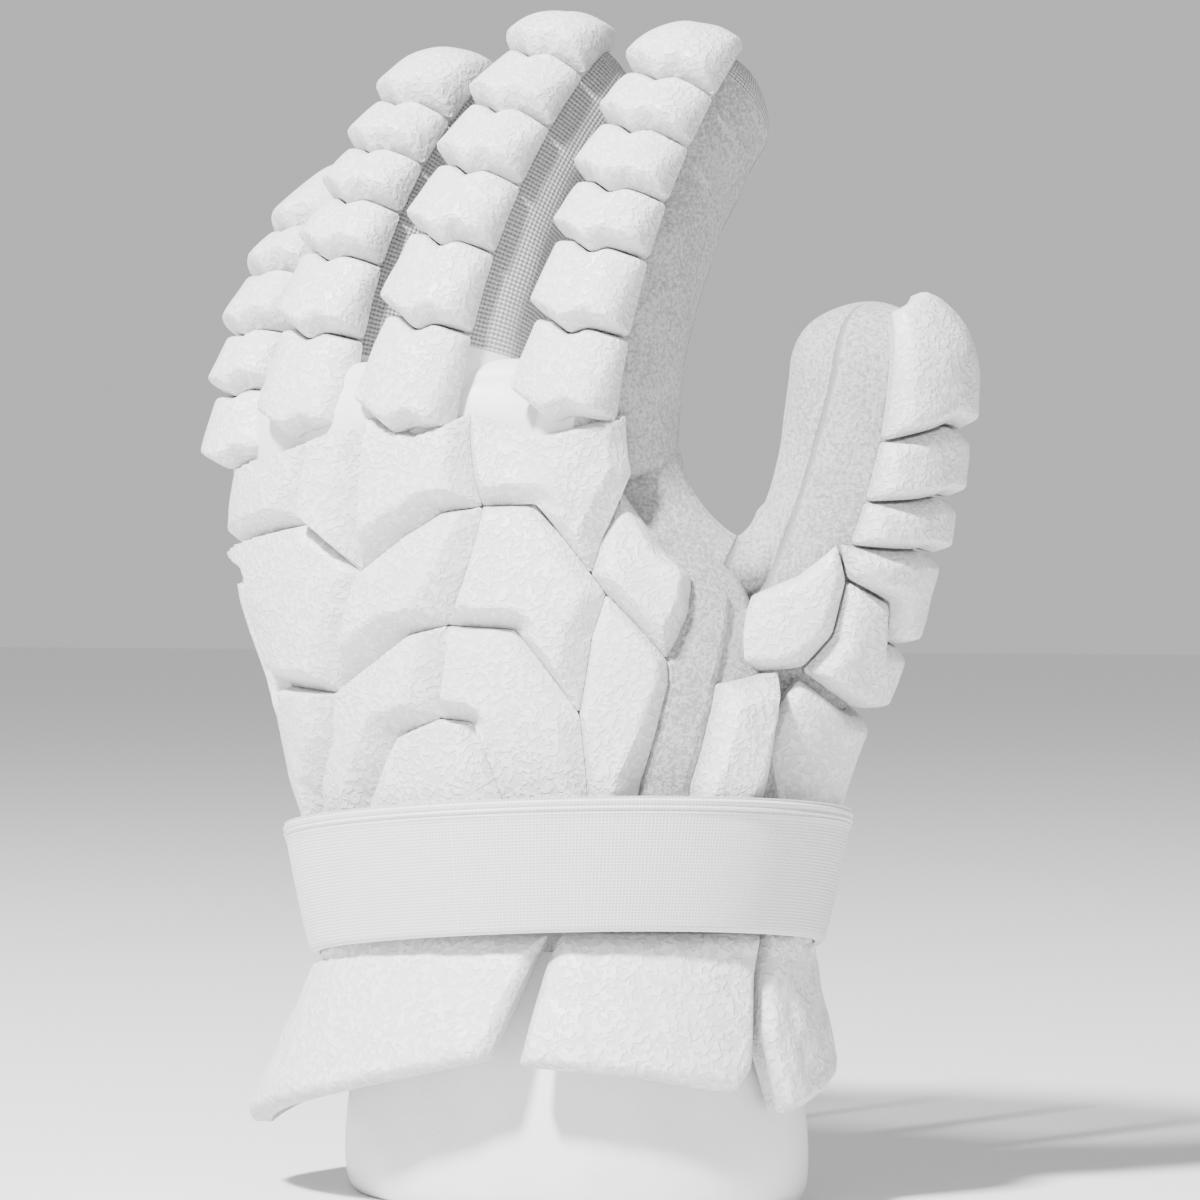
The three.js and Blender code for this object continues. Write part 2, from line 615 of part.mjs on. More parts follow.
// Back and palm part along a plane that leans a little, with a seat's gap between them, and each of them
// again across the middle of the hand.
const facing = new THREE.Vector3(0, 1, SHELL_LEAN).normalize();
const cutAt = CUFF_HEIGHT * facing.z;
const halves = {
  back: shell.trimByPlane(facing.clone().negate().toArray(), SEAT_GAP / 2 - cutAt),
  palm: shell.trimByPlane(facing.toArray(), cutAt + SEAT_GAP / 2),
};
const splitAt = CUFF_HEIGHT + SHELL_SPLIT * HAND_LENGTH;
for (const [side, half] of Object.entries(halves)) {
  addNode(`hand_${side}_low`, half.trimByPlane([0, 0, -1], SEAT_GAP / 2 - splitAt), suede);
  addNode(`hand_${side}_high`, half.trimByPlane([0, 0, 1], SEAT_GAP / 2 + splitAt), suede);
}
for (const [name, digit] of Object.entries(DIGITS)) {
  const isOuter = name === 'thumb' || name === 'index';
  const sleeve = digitSolid(digit, 0, isOuter ? BASE_ROW : SLEEVE_ROW).subtract(handGrown);
  addNode(`${name}_sleeve`, sleeve.subtract(hollows[name]), name === 'thumb' ? suede : knit);
}

// The rolled web that bridges the thumb and the index finger
const WEB_PATH = [
  // across, back, rise, as shares of HAND_HALF_WIDTH, HAND_HALF_DEPTH and HAND_LENGTH
  [0.4, -0.18, 0.84],
  [0.465, -0.14, 0.7625],
  [0.575, -0.05, 0.693],
  [0.71, 0.085, 0.645],
  [0.8, 0.29, 0.657],
  [0.87, 0.45, 0.7275],
  [0.91, 0.51, 0.814],
];
const webPath = new THREE.CatmullRomCurve3(
  WEB_PATH.map(([across, back, rise]) => {
    const height = CUFF_HEIGHT + rise * HAND_LENGTH;
    return new THREE.Vector3(across * HAND_HALF_WIDTH, back * HAND_HALF_DEPTH, height);
  })
);
const webSection = new THREE.Shape();
webSection.absellipse(0, 0, WEB_HALF_DEPTH, WEB_HALF_WIDTH, 0, 4 * QUARTER_TURN, false, degrees(WEB_TWIST));
const webRoll = new THREE.ExtrudeGeometry(webSection, {
  steps: WEB_ROWS,
  curveSegments: WEB_SIDES / 2,
  extrudePath: webPath,
});
const innerBlock = blockOver(thumbSurface, THUMB_PADS.base_pad_inner);
const webBody = solidFrom(webRoll).subtract(handGrown).subtract(thumbGrown).subtract(innerBlock);
addNode('thumb_web', webBody.subtract(indexGrown), suede);

// The cuff: a liner that the glove stands on, three flared pads over it, and the strap round the wrist.
const LINER_SECTIONS = [
  // rise as a share of CUFF_HEIGHT, half width, half depth
  [0, 0.97, 0.96],
  [0.08, 1.0, 1.0],
  [0.45, 0.98, 0.97],
  [1, 0.853, 0.79],
];
const linerRings = (offset) =>
  LINER_SECTIONS.map(([rise, halfWidth, halfDepth], row) => {
    const past = row === 0 ? offset : row === LINER_SECTIONS.length - 1 ? -offset - SEAT_GAP : 0;
    return ringOf(RING_SIDES, (turn) => new THREE.Vector3(
      (halfWidth * CUFF_HALF_WIDTH + offset) * Math.sin(turn),
      -(halfDepth * CUFF_HALF_DEPTH + offset) * Math.cos(turn),
      rise * CUFF_HEIGHT + past
    ));
  });
addNode('cuff_liner', loft(linerRings(0)).subtract(loft(linerRings(-CUFF_WALL))), leather);
const linerGrown = loft(linerRings(SEAT_GAP));

// Turn in degrees, and share of SKIRT_LENGTH from its hem up.
const SKIRT_PADS = {
  outer: [[-100, 0.12], [-72, 0.02], [10.5, 0.435], [16.5, 1], [-100, 1]],
  front: [[17, 0.42], [40, 0.38], [65, 0.293], [70, 0.395], [74.5, 1], [18.5, 1]],
  inner: [[79, 0.18], [112, 0.31], [135, 0.33], [135, 1], [76, 1], [72.5, 0.55]],
};
for (const [name, corners] of Object.entries(SKIRT_PADS)) {
  const edges = { bevel: HEM_BEVEL, groove: HEM_GROOVE, step: SKIRT_STEP };
  const pad = padOn(skirtSurface, corners, CUFF_PAD_THICKNESS, edges);
  addNode(`cuff_pad_${name}`, pad.subtract(strapGrown).subtract(handGrown).subtract(linerGrown), foam);
}

addNode('wrist_strap', strapSolid(-STRAP_THICKNESS, 0, 0), webbing);

// The origin is under the middle of the glove's bounding box.
const box = new THREE.Box3().setFromObject(root);
const middle = box.getCenter(new THREE.Vector3());
root.position.set(-middle.x, -middle.y, -box.min.z);

export default root;
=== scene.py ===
"""Looks of a left-hand lacrosse glove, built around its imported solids. Lengths below are in millimetres."""

import math

import bpy
import numpy as np
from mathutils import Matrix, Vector, geometry


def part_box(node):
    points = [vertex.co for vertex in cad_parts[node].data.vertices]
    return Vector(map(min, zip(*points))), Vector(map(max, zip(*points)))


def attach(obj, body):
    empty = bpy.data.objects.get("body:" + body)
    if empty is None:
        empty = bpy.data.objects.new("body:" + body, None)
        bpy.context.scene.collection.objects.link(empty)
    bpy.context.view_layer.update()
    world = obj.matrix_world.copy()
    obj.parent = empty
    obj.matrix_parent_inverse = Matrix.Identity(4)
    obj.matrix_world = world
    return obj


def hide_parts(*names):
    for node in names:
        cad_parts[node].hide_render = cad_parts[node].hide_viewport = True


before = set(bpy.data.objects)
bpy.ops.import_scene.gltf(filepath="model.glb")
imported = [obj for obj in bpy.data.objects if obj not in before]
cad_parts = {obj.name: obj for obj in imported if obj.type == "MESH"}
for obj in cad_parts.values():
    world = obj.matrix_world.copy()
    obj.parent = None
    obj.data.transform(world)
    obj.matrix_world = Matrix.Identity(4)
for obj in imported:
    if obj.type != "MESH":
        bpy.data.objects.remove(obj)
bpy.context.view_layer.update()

CUFF_HEIGHT = 70.0
CUFF_HALF_WIDTH = 68.0
CUFF_HALF_DEPTH = 48.0
HAND_LENGTH = 160.0
HAND_HALF_WIDTH = 66.0
HAND_HALF_DEPTH = 38.0
FINGER_LENGTH = 100.0
FINGER_HALF_WIDTH = 16.0
FINGER_HALF_DEPTH = 21.0
THUMB_LENGTH = 117.0
THUMB_HALF_WIDTH = 19.0
THUMB_HALF_DEPTH = 21.2
HAND_PAD = 9.5
FINGER_PAD = 10.3
THUMB_PAD = 10.5
CUFF_PAD = 8.5
QUARTER = math.pi / 2
DEGREES_IN_A_RADIAN = 57.3

# Clearances: under a pad, under a pad over a finger's root, and from that root to the pad's top
SEAT = 0.35
ROOT_COVER = 3.6

# A seam runs where its mark has this value, so that a piece with marks of 0 has none.
SEAM_MARK = 50.0
STITCH_INSET = 1.7

# Digits' sleeves: where they start below the root, how fast they curve in there, and the roll along their side
SLEEVE_START, SLEEVE_TUCK = -8.0, 0.2
ROLL_TURN, ROLL_WIDTH = 1.45, 0.5
SLEEVE_ROLLS = {"middle": 3.0, "ring": 1.6, "little": 0.8}
PALM_FROM = 118

# Studio, in metres
FLOOR_SPAN, FLOOR_TONE, WORLD_STRENGTH = 12.0, 0.86, 0.62
KEY_PLACE, KEY_SIZE, KEY_POWER = (-0.2, -1.35, 1.85), 0.25, 185

# The charts are centred on the cuff's liner, so the liner's box gives their place in the row frame.
liner_low, liner_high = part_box("cuff_liner")
SHIFT = np.array([(liner_low.x + liner_high.x) * 500, (liner_low.y + liner_high.y) * 500, 0.0])

# The camera stands where the photograph was taken from.
AZIMUTH, DISTANCE, TARGET = 30.0, 1300.0, np.array([6.2, 3.6, 164.3])
PIXELS_PER_MM, IMAGE, SENSOR = 3.62, 1200.0, 36.0


def place_camera():
    turn = math.radians(AZIMUTH)
    back = np.array([math.sin(turn), -math.cos(turn), 0.0])
    data = bpy.data.cameras.new("camera")
    data.sensor_width = SENSOR
    data.lens = PIXELS_PER_MM * DISTANCE / IMAGE * SENSOR
    camera = bpy.data.objects.new("camera", data)
    camera.location = Vector((TARGET + SHIFT + back * DISTANCE) / 1000)
    camera.rotation_euler = Vector(back).to_track_quat("Z", "Y").to_euler()
    bpy.context.scene.collection.objects.link(camera)
    bpy.context.scene.camera = camera


place_camera()


# Charts: the surfaces of the hand, the digits and the cuff's skirt, as in the part's own construction.
def curve_through(rows):
    """A smooth curve through a table's rows, whose first column is the position."""
    table = np.array(rows, float)
    place, values = table[:, 0], table[:, 1:]
    last = len(place) - 1

    def evaluate(position):
        at = np.clip(np.asarray(position, float), place[0], place[-1])
        high = np.clip(np.searchsorted(place, at, side="right"), 1, last)
        low = high - 1
        span = place[high] - place[low]
        before = np.where(low == 0, high, low - 1)
        after = np.where(high == last, low, np.minimum(high + 1, last))
        weight_before = np.where(low == 0, -0.5, 0.5 * span / np.where(low == 0, 1, place[low] - place[before]))
        weight_after = np.where(high == last, -0.5, 0.5 * span / np.where(high == last, 1, place[after] - place[high]))
        p = (at - place[low]) / span
        shares = (
            (before, -weight_before * p**3 + 2 * weight_before * p**2 - weight_before * p),
            (low, (1 + weight_before) * p**3 + (-1.5 - 2 * weight_before) * p**2 + (-0.5 + weight_before) * p + 1),
            (high, (-1 - weight_after) * p**3 + (1.5 + weight_after) * p**2 + 0.5 * p),
            (after, weight_after * p**3 - weight_after * p**2),
        )
        return sum(weight[..., None] * values[row] for row, weight in shares)

    return evaluate


HAND_SECTIONS = [
    # rise, across, back, half width, half depth, arch
    [0.0, -0.01, 0.0, 0.89, 1.0, 0.0],
    [0.22, -0.05, -0.05, 1.08, 1.08, 0.0],
    [0.44, -0.16, -0.21, 1.12, 0.97, 0.06],
    [0.61, -0.31, -0.32, 1.15, 0.84, 0.14],
    [0.7, -0.39, -0.39, 1.1, 0.74, 0.22],
    [0.81, -0.49, -0.47, 1.02, 0.63, 0.3],
    [0.92, -0.53, -0.5, 1.0, 0.55, 0.32],
    [1.0, -0.52, -0.46, 0.95, 0.42, 0.34],
]
hand_section = curve_through(HAND_SECTIONS)


def hand_point(turn, height, offset):
    rise = np.clip((height - CUFF_HEIGHT) / HAND_LENGTH, 0, 1)
    across, back, half_width, half_depth, arch = np.moveaxis(hand_section(rise), -1, 0)
    side = np.sin(turn)
    return np.stack(
        [
            across * HAND_HALF_WIDTH + (half_width * HAND_HALF_WIDTH + offset) * side,
            (back + arch * side * side) * HAND_HALF_DEPTH - (half_depth * HAND_HALF_DEPTH + offset) * np.cos(turn),
            height + 0 * side,
        ],
        -1,
    )


THUMB_FLARE = (0.45, 0.3)
KNUCKLE_FLARE = (0.12, 0.4)
DIGIT_TABLE = [
    # name, across, back, rise, length, girth, turn, fan, bend at the base, bend at the tip
    ("index", 0.29, -0.42, 0.84, 1.02, 1.0, -8, 6, 0, 37),
    ("middle", -0.4, -0.53, 0.84, 1.1, 1.0, -10, 6, 0, 43),
    ("ring", -0.95, -0.34, 0.84, 1.03, 0.97, -14, 1.5, 0, 45),
    ("little", -1.4, 0.05, 0.81, 0.8, 0.86, -22, -8, 0, 55),
    ("thumb", 0.57, 0.29, 0.31, 1.0, 1.0, 105, 0, -40, -4),
]


class Digit:
    def __init__(self, name, across, back, rise, length, girth, turn, fan, first, last):
        thumb = name == "thumb"
        self.name = name
        self.arc = length * (THUMB_LENGTH if thumb else FINGER_LENGTH)
        self.half_width = girth * (THUMB_HALF_WIDTH if thumb else FINGER_HALF_WIDTH)
        self.half_depth = girth * (THUMB_HALF_DEPTH if thumb else FINGER_HALF_DEPTH)
        self.flare = THUMB_FLARE if thumb else KNUCKLE_FLARE
        self.base = np.array([across * HAND_HALF_WIDTH, back * HAND_HALF_DEPTH, CUFF_HEIGHT + rise * HAND_LENGTH])
        self.bend = math.radians(first), math.radians(last)
        yaw, lean = math.radians(turn), math.radians(fan)
        self.up = np.array([math.sin(lean), 0, math.cos(lean)])
        palmward = np.array([-math.sin(yaw), math.cos(yaw), 0])
        palmward -= palmward.dot(self.up) * self.up
        self.palmward = palmward / np.linalg.norm(palmward)
        self.side = np.cross(self.palmward, self.up)

    def point(self, turn, along, offset):
        turn, along, offset = np.broadcast_arrays(*(np.asarray(v, float) for v in (turn, along, offset)))
        lift = np.minimum(np.maximum(0, along - self.arc) / self.half_width, QUARTER)
        first, last = self.bend
        radius = self.arc / (last - first)
        angle = (first + np.minimum(along, self.arc) / radius)[..., None]
        tangent = self.up * np.cos(angle) + self.palmward * np.sin(angle)
        back = self.up * np.sin(angle) - self.palmward * np.cos(angle)
        centre = self.base + self.up * radius * (np.sin(angle) - math.sin(first))
        centre = centre + self.palmward * radius * (math.cos(first) - np.cos(angle))
        share, reach = self.flare
        flare = 1 + share * np.maximum(0, 1 - along / (reach * self.arc)) ** 2
        across = (self.half_width * flare + offset) * np.cos(lift)
        deep = (self.half_depth * flare + offset) * np.cos(lift)
        return (
            centre
            + self.side * (across * np.sin(turn))[..., None]
            + back * (deep * np.cos(turn))[..., None]
            + tangent * ((self.half_width + offset) * np.sin(lift))[..., None]
        )


DIGITS = {row[0]: Digit(*row) for row in DIGIT_TABLE}

SKIRT_SECTIONS = [
    # drop, across, back, half width, half depth
    [0.0, 0.0, 0.0, 0.92, 0.85],
    [0.14, -0.03, -0.02, 0.945, 0.92],
    [0.5, -0.06, -0.05, 1.04, 1.12],
    [1.0, -0.13, -0.08, 1.18, 1.31],
]
SKIRT_TOP, SKIRT_LENGTH = 76.0, 60.0
skirt_section = curve_through(SKIRT_SECTIONS)


def skirt_point(turn, share, offset):
    across, back, half_width, half_depth = np.moveaxis(skirt_section(1 - share), -1, 0)
    return np.stack(
        [
            across * CUFF_HALF_WIDTH + (half_width * CUFF_HALF_WIDTH + offset) * np.sin(turn),
            back * CUFF_HALF_DEPTH - (half_depth * CUFF_HALF_DEPTH + offset) * np.cos(turn),
            SKIRT_TOP - (1 - share) * SKIRT_LENGTH + 0 * turn,
        ],
        -1,
    )


class Sheet:
    """A surface that pads lie on, flattened so that its millimetres are nearly true."""

    def __init__(self, spread, reach, point):
        self.spread, self.reach, self.point = spread, reach, point

    def flatten(self, corners):
        table = np.array(corners, float)
        return np.stack([np.radians(table[:, 0]) * self.spread, table[:, 1] * self.reach], -1)

    def place(self, flat, offset):
        return self.point(flat[:, 0] / self.spread, flat[:, 1] / self.reach, offset)


hand_sheet = Sheet(
    HAND_HALF_WIDTH * 0.95,
    HAND_LENGTH,
    lambda turn, share, offset: hand_point(turn, CUFF_HEIGHT + share * HAND_LENGTH, offset),
)
skirt_sheet = Sheet(CUFF_HALF_WIDTH, SKIRT_LENGTH, skirt_point)
digit_sheets = {
    name: Sheet(
        digit.half_width * 1.35,
        digit.arc,
        lambda turn, share, offset, d=digit: d.point(turn, share * d.arc, offset),
    )
    for name, digit in DIGITS.items()
}


# Smooth noise, the same on each run
def waves(points, size, seed):
    """A soft unevenness between about -1 and 1, with bumps of a given size."""
    random = np.random.default_rng(seed)
    total = np.zeros(len(points))
    for _ in range(7):
        way = random.normal(size=3)
        way *= random.uniform(0.7, 1.5) / np.linalg.norm(way) * 2 * math.pi / size
        total += np.sin(points @ way + random.uniform(0, 2 * math.pi))
    return total / 3.5


# Meshes
def new_piece(name, points, faces, materials, nodes, smooth_under=55, uv=None, marks=None, indices=None):
    """A piece from points in millimetres. It rides on the glove, and stands for its CAD nodes."""
    mesh = bpy.data.meshes.new(name)
    mesh.from_pydata([tuple(p) for p in (points + SHIFT) / 1000], [], [tuple(int(i) for i in f) for f in faces])
    for material in materials:
        mesh.materials.append(material)
    if indices is not None:
        mesh.polygons.foreach_set("material_index", np.asarray(indices, np.int32))
    for key, values in (marks or {}).items():
        mesh.attributes.new(key, "FLOAT", "POINT").data.foreach_set("value", np.asarray(values, np.float32))
    if uv is not None:
        layer = mesh.uv_layers.new(name="UVMap")
        loops = np.zeros(len(mesh.loops), np.int32)
        mesh.loops.foreach_get("vertex_index", loops)
        layer.data.foreach_set("uv", (uv[loops] / 1000).astype(np.float32).ravel())
    mesh.validate()
    mesh.update()
    mesh.polygons.foreach_set("use_smooth", np.ones(len(mesh.polygons), bool))
    mesh.set_sharp_from_angle(angle=math.radians(smooth_under))
    piece = bpy.data.objects.new(name, mesh)
    bpy.context.scene.collection.objects.link(piece)
    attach(piece, "root")
    if nodes:
        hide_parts(*nodes)
    return piece


def grid_faces(rows, columns, start=0, flip=False, closed=True):
    faces = []
    for row in range(rows - 1):
        for column in range(columns if closed else columns - 1):
            a = start + row * columns + column
            b = start + row * columns + (column + 1) % columns
            quad = (a, b, b + columns, a + columns)
            faces.append(quad[::-1] if flip else quad)
    return faces


def inset(outline, distance):
    before = np.roll(outline, 1, 0)
    after = np.roll(outline, -1, 0)
    into = outline - before
    out = after - outline
    into /= np.linalg.norm(into, axis=1)[:, None]
    out /= np.linalg.norm(out, axis=1)[:, None]
    mean = np.stack([-into[:, 1] - out[:, 1], into[:, 0] + out[:, 0]], -1)
    length = np.linalg.norm(mean, axis=1)
    reach = distance * np.minimum(2 / length, 2.2)
    return outline + mean / length[:, None] * reach[:, None]


def rounded(outline, radius, step):
    """The outline with round corners, as points a step apart."""
    count = len(outline)
    path = []
    for i in range(count):
        corner = outline[i]
        before, after = outline[i - 1], outline[(i + 1) % count]
        into, out = before - corner, after - corner
        reach_in = min(radius, 0.4 * np.linalg.norm(into))
        reach_out = min(radius, 0.4 * np.linalg.norm(out))
        start = corner + into / np.linalg.norm(into) * reach_in
        end = corner + out / np.linalg.norm(out) * reach_out
        for t in np.linspace(0, 1, 5):
            path.append((1 - t) ** 2 * start + 2 * t * (1 - t) * corner + t * t * end)
    path = np.array(path + [path[0]])
    lengths = np.linalg.norm(np.diff(path, axis=0), axis=1)
    travelled = np.concatenate([[0], np.cumsum(lengths)])
    stations = np.linspace(0, travelled[-1], max(12, int(travelled[-1] / step)), endpoint=False)
    return np.stack([np.interp(stations, travelled, path[:, k]) for k in (0, 1)], -1)


def distance_to(points, a, b):
    along = b - a
    t = np.clip(((points - a) @ along) / (along @ along), 0, 1)
    return np.linalg.norm(points - a - t[:, None] * along, axis=1)


def inside(points, outline):
    found = np.zeros(len(points), bool)
    for a, b in zip(outline, np.roll(outline, -1, 0)):
        crosses = (a[1] > points[:, 1]) != (b[1] > points[:, 1])
        height = b[1] - a[1] if b[1] != a[1] else 1e-9
        found ^= crosses & (points[:, 0] < (b[0] - a[0]) * (points[:, 1] - a[1]) / height + a[0])
    return found


def fill_outline(rim, step):
    """Triangles over an outline, with points a step apart inside it. The rim's points come first."""
    low, high = rim.min(0), rim.max(0)
    columns = np.arange(low[0], high[0], step)
    rows = np.arange(low[1], high[1], step * 0.866)
    x, y = np.meshgrid(columns, rows)
    x = x + (np.arange(len(rows)) % 2)[:, None] * step / 2
    spots = np.stack([x.ravel(), y.ravel()], -1)
    spots = spots[inside(spots, rim)]
    near = np.min([distance_to(spots, a, b) for a, b in zip(rim, np.roll(rim, -1, 0))], axis=0)
    spots = spots[near > 0.45 * step]
    every = [Vector(p) for p in np.concatenate([rim, spots])]
    result = geometry.delaunay_2d_cdt(every, [], [list(range(len(rim)))], 1, 1e-5)
    flat = np.array([tuple(v) for v in result[0]])
    return flat, [tuple(f) for f in result[2]]


def soft_least(values, softness):
    values = np.stack(values)
    least = values.min(0)
    return least - softness * np.log(np.exp(-(values - least) / softness).sum(0))


def by_way(normal, values):
    """Picks between values for edges that face right, up, left and down, by the way that an edge faces."""
    right, up, left, down = values
    x, y = normal
    return (right if x > 0 else left) * x * x + (up if y > 0 else down) * y * y


def hand_chart(points):
    """Where points near the hand lie on its flattened sheet"""
    rise = np.clip((points[:, 2] - CUFF_HEIGHT) / HAND_LENGTH, 0, 1)
    across, back, half_width, half_depth, arch = np.moveaxis(hand_section(rise), -1, 0)
    x = points[:, 0] - across * HAND_HALF_WIDTH
    y = points[:, 1] - back * HAND_HALF_DEPTH
    wide, deep = half_width * HAND_HALF_WIDTH, half_depth * HAND_HALF_DEPTH
    turn = np.arctan2(x / wide, -y / deep)
    for _ in range(8):
        flat_y = y - arch * HAND_HALF_DEPTH * np.sin(turn) ** 2
        offset = x * np.sin(turn) - flat_y * np.cos(turn) - wide * np.sin(turn) ** 2 - deep * np.cos(turn) ** 2
        turn = np.arctan2(x / (wide + offset), -flat_y / (deep + offset))
    return np.stack([turn * hand_sheet.spread, rise * HAND_LENGTH], -1)


def squeeze(points, middle, half_width, half_depth, where, outward=False):
    """Points past an oval, or short of it, are brought onto it."""
    rel = points[:, :2] - middle
    radius = np.hypot(rel[:, 0] / half_width, rel[:, 1] / half_depth)
    moved = where & (radius < 1 if outward else radius > 1)
    factor = np.where(moved, 1 / np.maximum(radius, 1e-6), 1.0)
    return np.c_[rel * factor[:, None] + middle, points[:, 2]]


STRAP_HEIGHT, STRAP_RISE, STRAP_THICKNESS, STRAP_FLOOR, STRAP_PEAK = 36.0, 9.0, 2.6, 68.0, math.radians(40)
STRAP_MIDDLE = np.array([-2.0, -2.0])
STRAP_FOOT, STRAP_HEAD = np.array([1.11, 1.15]), np.array([1.235, 1.25])
LINER_SECTIONS = [[0.0, 0.97, 0.96], [0.08, 1.0, 1.0], [0.45, 0.98, 0.97], [1.0, 0.853, 0.79]]
liner_section = curve_through(LINER_SECTIONS)


def under_strap(points):
    rel = points[:, :2] - STRAP_MIDDLE
    turn = np.arctan2(rel[:, 0], -rel[:, 1])
    share = (points[:, 2] - STRAP_FLOOR - STRAP_RISE * np.cos(turn - STRAP_PEAK)) / STRAP_HEIGHT
    girth = STRAP_FOOT + (STRAP_HEAD - STRAP_FOOT) * np.clip(share, 0, 1)[:, None]
    room = STRAP_THICKNESS + 0.7
    return squeeze(points, STRAP_MIDDLE, girth[:, 0] * CUFF_HALF_WIDTH - room, girth[:, 1] * CUFF_HALF_DEPTH - room,
                   (share > -0.05) & (share < 1.05))


def over_liner(points, gap):
    girth = liner_section(np.clip(points[:, 2] / CUFF_HEIGHT, 0, 1))
    return squeeze(points, np.zeros(2), girth[:, 0] * CUFF_HALF_WIDTH + gap, girth[:, 1] * CUFF_HALF_DEPTH + gap,
                   points[:, 2] < CUFF_HEIGHT + 1, True)


def clear_of(digit, sheet, flat, height, gap):
    """Heights on a sheet that keep clear of a digit's root"""
    height = height.copy()
    for _ in range(40):
        rel = sheet.place(flat, height) - digit.base
        along = rel @ digit.up
        share, reach = digit.flare
        flare = 1 + share * np.maximum(0, 1 - along / (reach * digit.arc)) ** 2
        wide, deep = digit.half_width * flare + gap, digit.half_depth * flare + gap
        radius = np.hypot(rel @ digit.side / wide, rel @ digit.palmward / deep)
        low = radius < np.sqrt(np.clip(1 - (np.minimum(along, 0) / 34) ** 2, 0, 1))
        if not low.any():
            break
        height[low] += 0.5
    return height


def pad(name, sheet, corners, thickness, material, node, *, gap=0.14, levels=(2.4, 2.0, 2.6, 1.8),
        widths=(8, 1.5, 2.6, 6), tilt=4.2, softness=0.13, corner=0.9, step=1.05, floor=SEAT, uneven=0.2, seed=1,
        over=None, beside=None, stitched=False):
    """A foam pad. Its crown is lowest along the upper edge, slopes lead down to every edge, and walls to its seat.

    Levels and widths are those of the slopes that face right, up, left and down.
    """
    outline = inset(sheet.flatten(corners), gap / 2)
    rim = rounded(outline, corner, step)
    cut = np.zeros(len(rim), bool)
    if beside is not None:
        def taken(spots):
            levels_tried = (1.0, 6.0, thickness)
            return np.any([inside(hand_chart(sheet.place(spots, level)), beside) for level in levels_tried], axis=0)

        cut = taken(rim)
        heart = rim[~cut].mean(0)
        near, far = np.zeros(len(rim)), np.ones(len(rim))
        for _ in range(12):
            middle = (near + far) / 2
            blocked = taken(heart + (rim - heart) * middle[:, None])
            near, far = np.where(blocked, near, middle), np.where(blocked, middle, far)
        rim = np.where(cut[:, None], heart + (rim - heart) * near[:, None], rim)
    flat, faces = fill_outline(rim, step)
    lows, from_below = [], [np.full(len(flat), 1e3)]
    for a, b in zip(outline, np.roll(outline, -1, 0)):
        along = (b - a) / np.linalg.norm(b - a)
        normal = (along[1], -along[0])
        level = by_way(normal, levels)
        away = distance_to(flat, a, b)
        lows.append(level + (thickness - level) / by_way(normal, widths) * away)
        if normal[1] < -0.5:
            from_below.append(away)
    if cut.any():
        edges = [distance_to(flat, a, b) for a, b, c in zip(rim, np.roll(rim, -1, 0), cut) if c]
        lows.append(levels[2] + (thickness - levels[2]) / 3 * np.min(edges, axis=0))
    rise = np.min(from_below, axis=0)
    crown = thickness - tilt * rise / rise.max() if len(from_below) > 1 else np.full(len(flat), thickness)
    height = soft_least(lows + [crown], softness)
    height = height + uneven * waves(np.c_[flat, np.zeros(len(flat))], 11, seed)
    seat = np.full(len(flat), floor)
    if over is not None:
        seat = clear_of(over, sheet, flat, seat, SEAT)
        raised = clear_of(over, sheet, flat, height, ROOT_COVER) - height
        near = np.exp(-((flat[:, None] - flat[None]) ** 2).sum(-1) / 12)
        height = height + near @ raised / near.sum(1)
    top, bottom = (over_liner(under_strap(sheet.place(flat, level)), SEAT) for level in (height, seat))
    count = len(rim)
    middle_rings = [top[:count] + (bottom[:count] - top[:count]) * share for share in (0.33, 0.66)]
    points = np.concatenate([top, bottom, *middle_rings])
    base = len(flat)
    triangles = list(faces) + [tuple(base + i for i in face[::-1]) for face in faces]
    rings = [start + np.arange(count) for start in (0, 2 * base, 2 * base + count, base)]
    for upper, lower in zip(rings[:-1], rings[1:]):
        for i in range(count):
            j = (i + 1) % count
            triangles.append((upper[i], lower[i], lower[j], upper[j]))
    # Painted shade: the depth mark grows down each slope towards the pad's edges and is 1 on the walls and underside.
    # pad_leather and cuff_leather darken their colour by it.
    depth = np.clip((crown - height) / (thickness - min(levels)), 0, 1)
    marks = {"depth": np.concatenate([depth, np.ones(len(flat) + 2 * count)])}
    if stitched:
        sides = [(a, b) for a, b in zip(outline, np.roll(outline, -1, 0)) if abs(b[1] - a[1]) > 0.8 * abs(b[0] - a[0])]
        edge = np.min([distance_to(flat, a, b) for a, b in sides], axis=0)
        marks = {"stitch": np.concatenate([edge, edge, np.zeros(2 * count)]), "seam": np.zeros(len(points)),
                 "run": np.concatenate([flat[:, 1], flat[:, 1], np.zeros(2 * count)])}
    piece = new_piece(name, points, triangles, [material], [node], smooth_under=32, marks=marks)


# Materials
def material(name, base, roughness):
    made = bpy.data.materials.new(name)
    made.use_nodes = True
    nodes, links = made.node_tree.nodes, made.node_tree.links
    shader = nodes["Principled BSDF"]
    shader.inputs["Roughness"].default_value = roughness
    shader.inputs["Base Color"].default_value = (*base, 1)
    return made, nodes, links, shader


def math_node(nodes, links, operation, *values):
    node = nodes.new("ShaderNodeMath")
    node.operation = operation
    for socket, value in zip(node.inputs, values):
        if isinstance(value, (int, float)):
            socket.default_value = value
        else:
            links.new(value, socket)
    return node.outputs[0]


def noise_node(nodes, links, source, scale, detail=2.0, roughness=0.5, distortion=0.0):
    node = nodes.new("ShaderNodeTexNoise")
    node.inputs["Scale"].default_value = scale
    node.inputs["Detail"].default_value = detail
    node.inputs["Roughness"].default_value = roughness
    node.inputs["Distortion"].default_value = distortion
    links.new(source, node.inputs["Vector"])
    return node.outputs["Fac"]


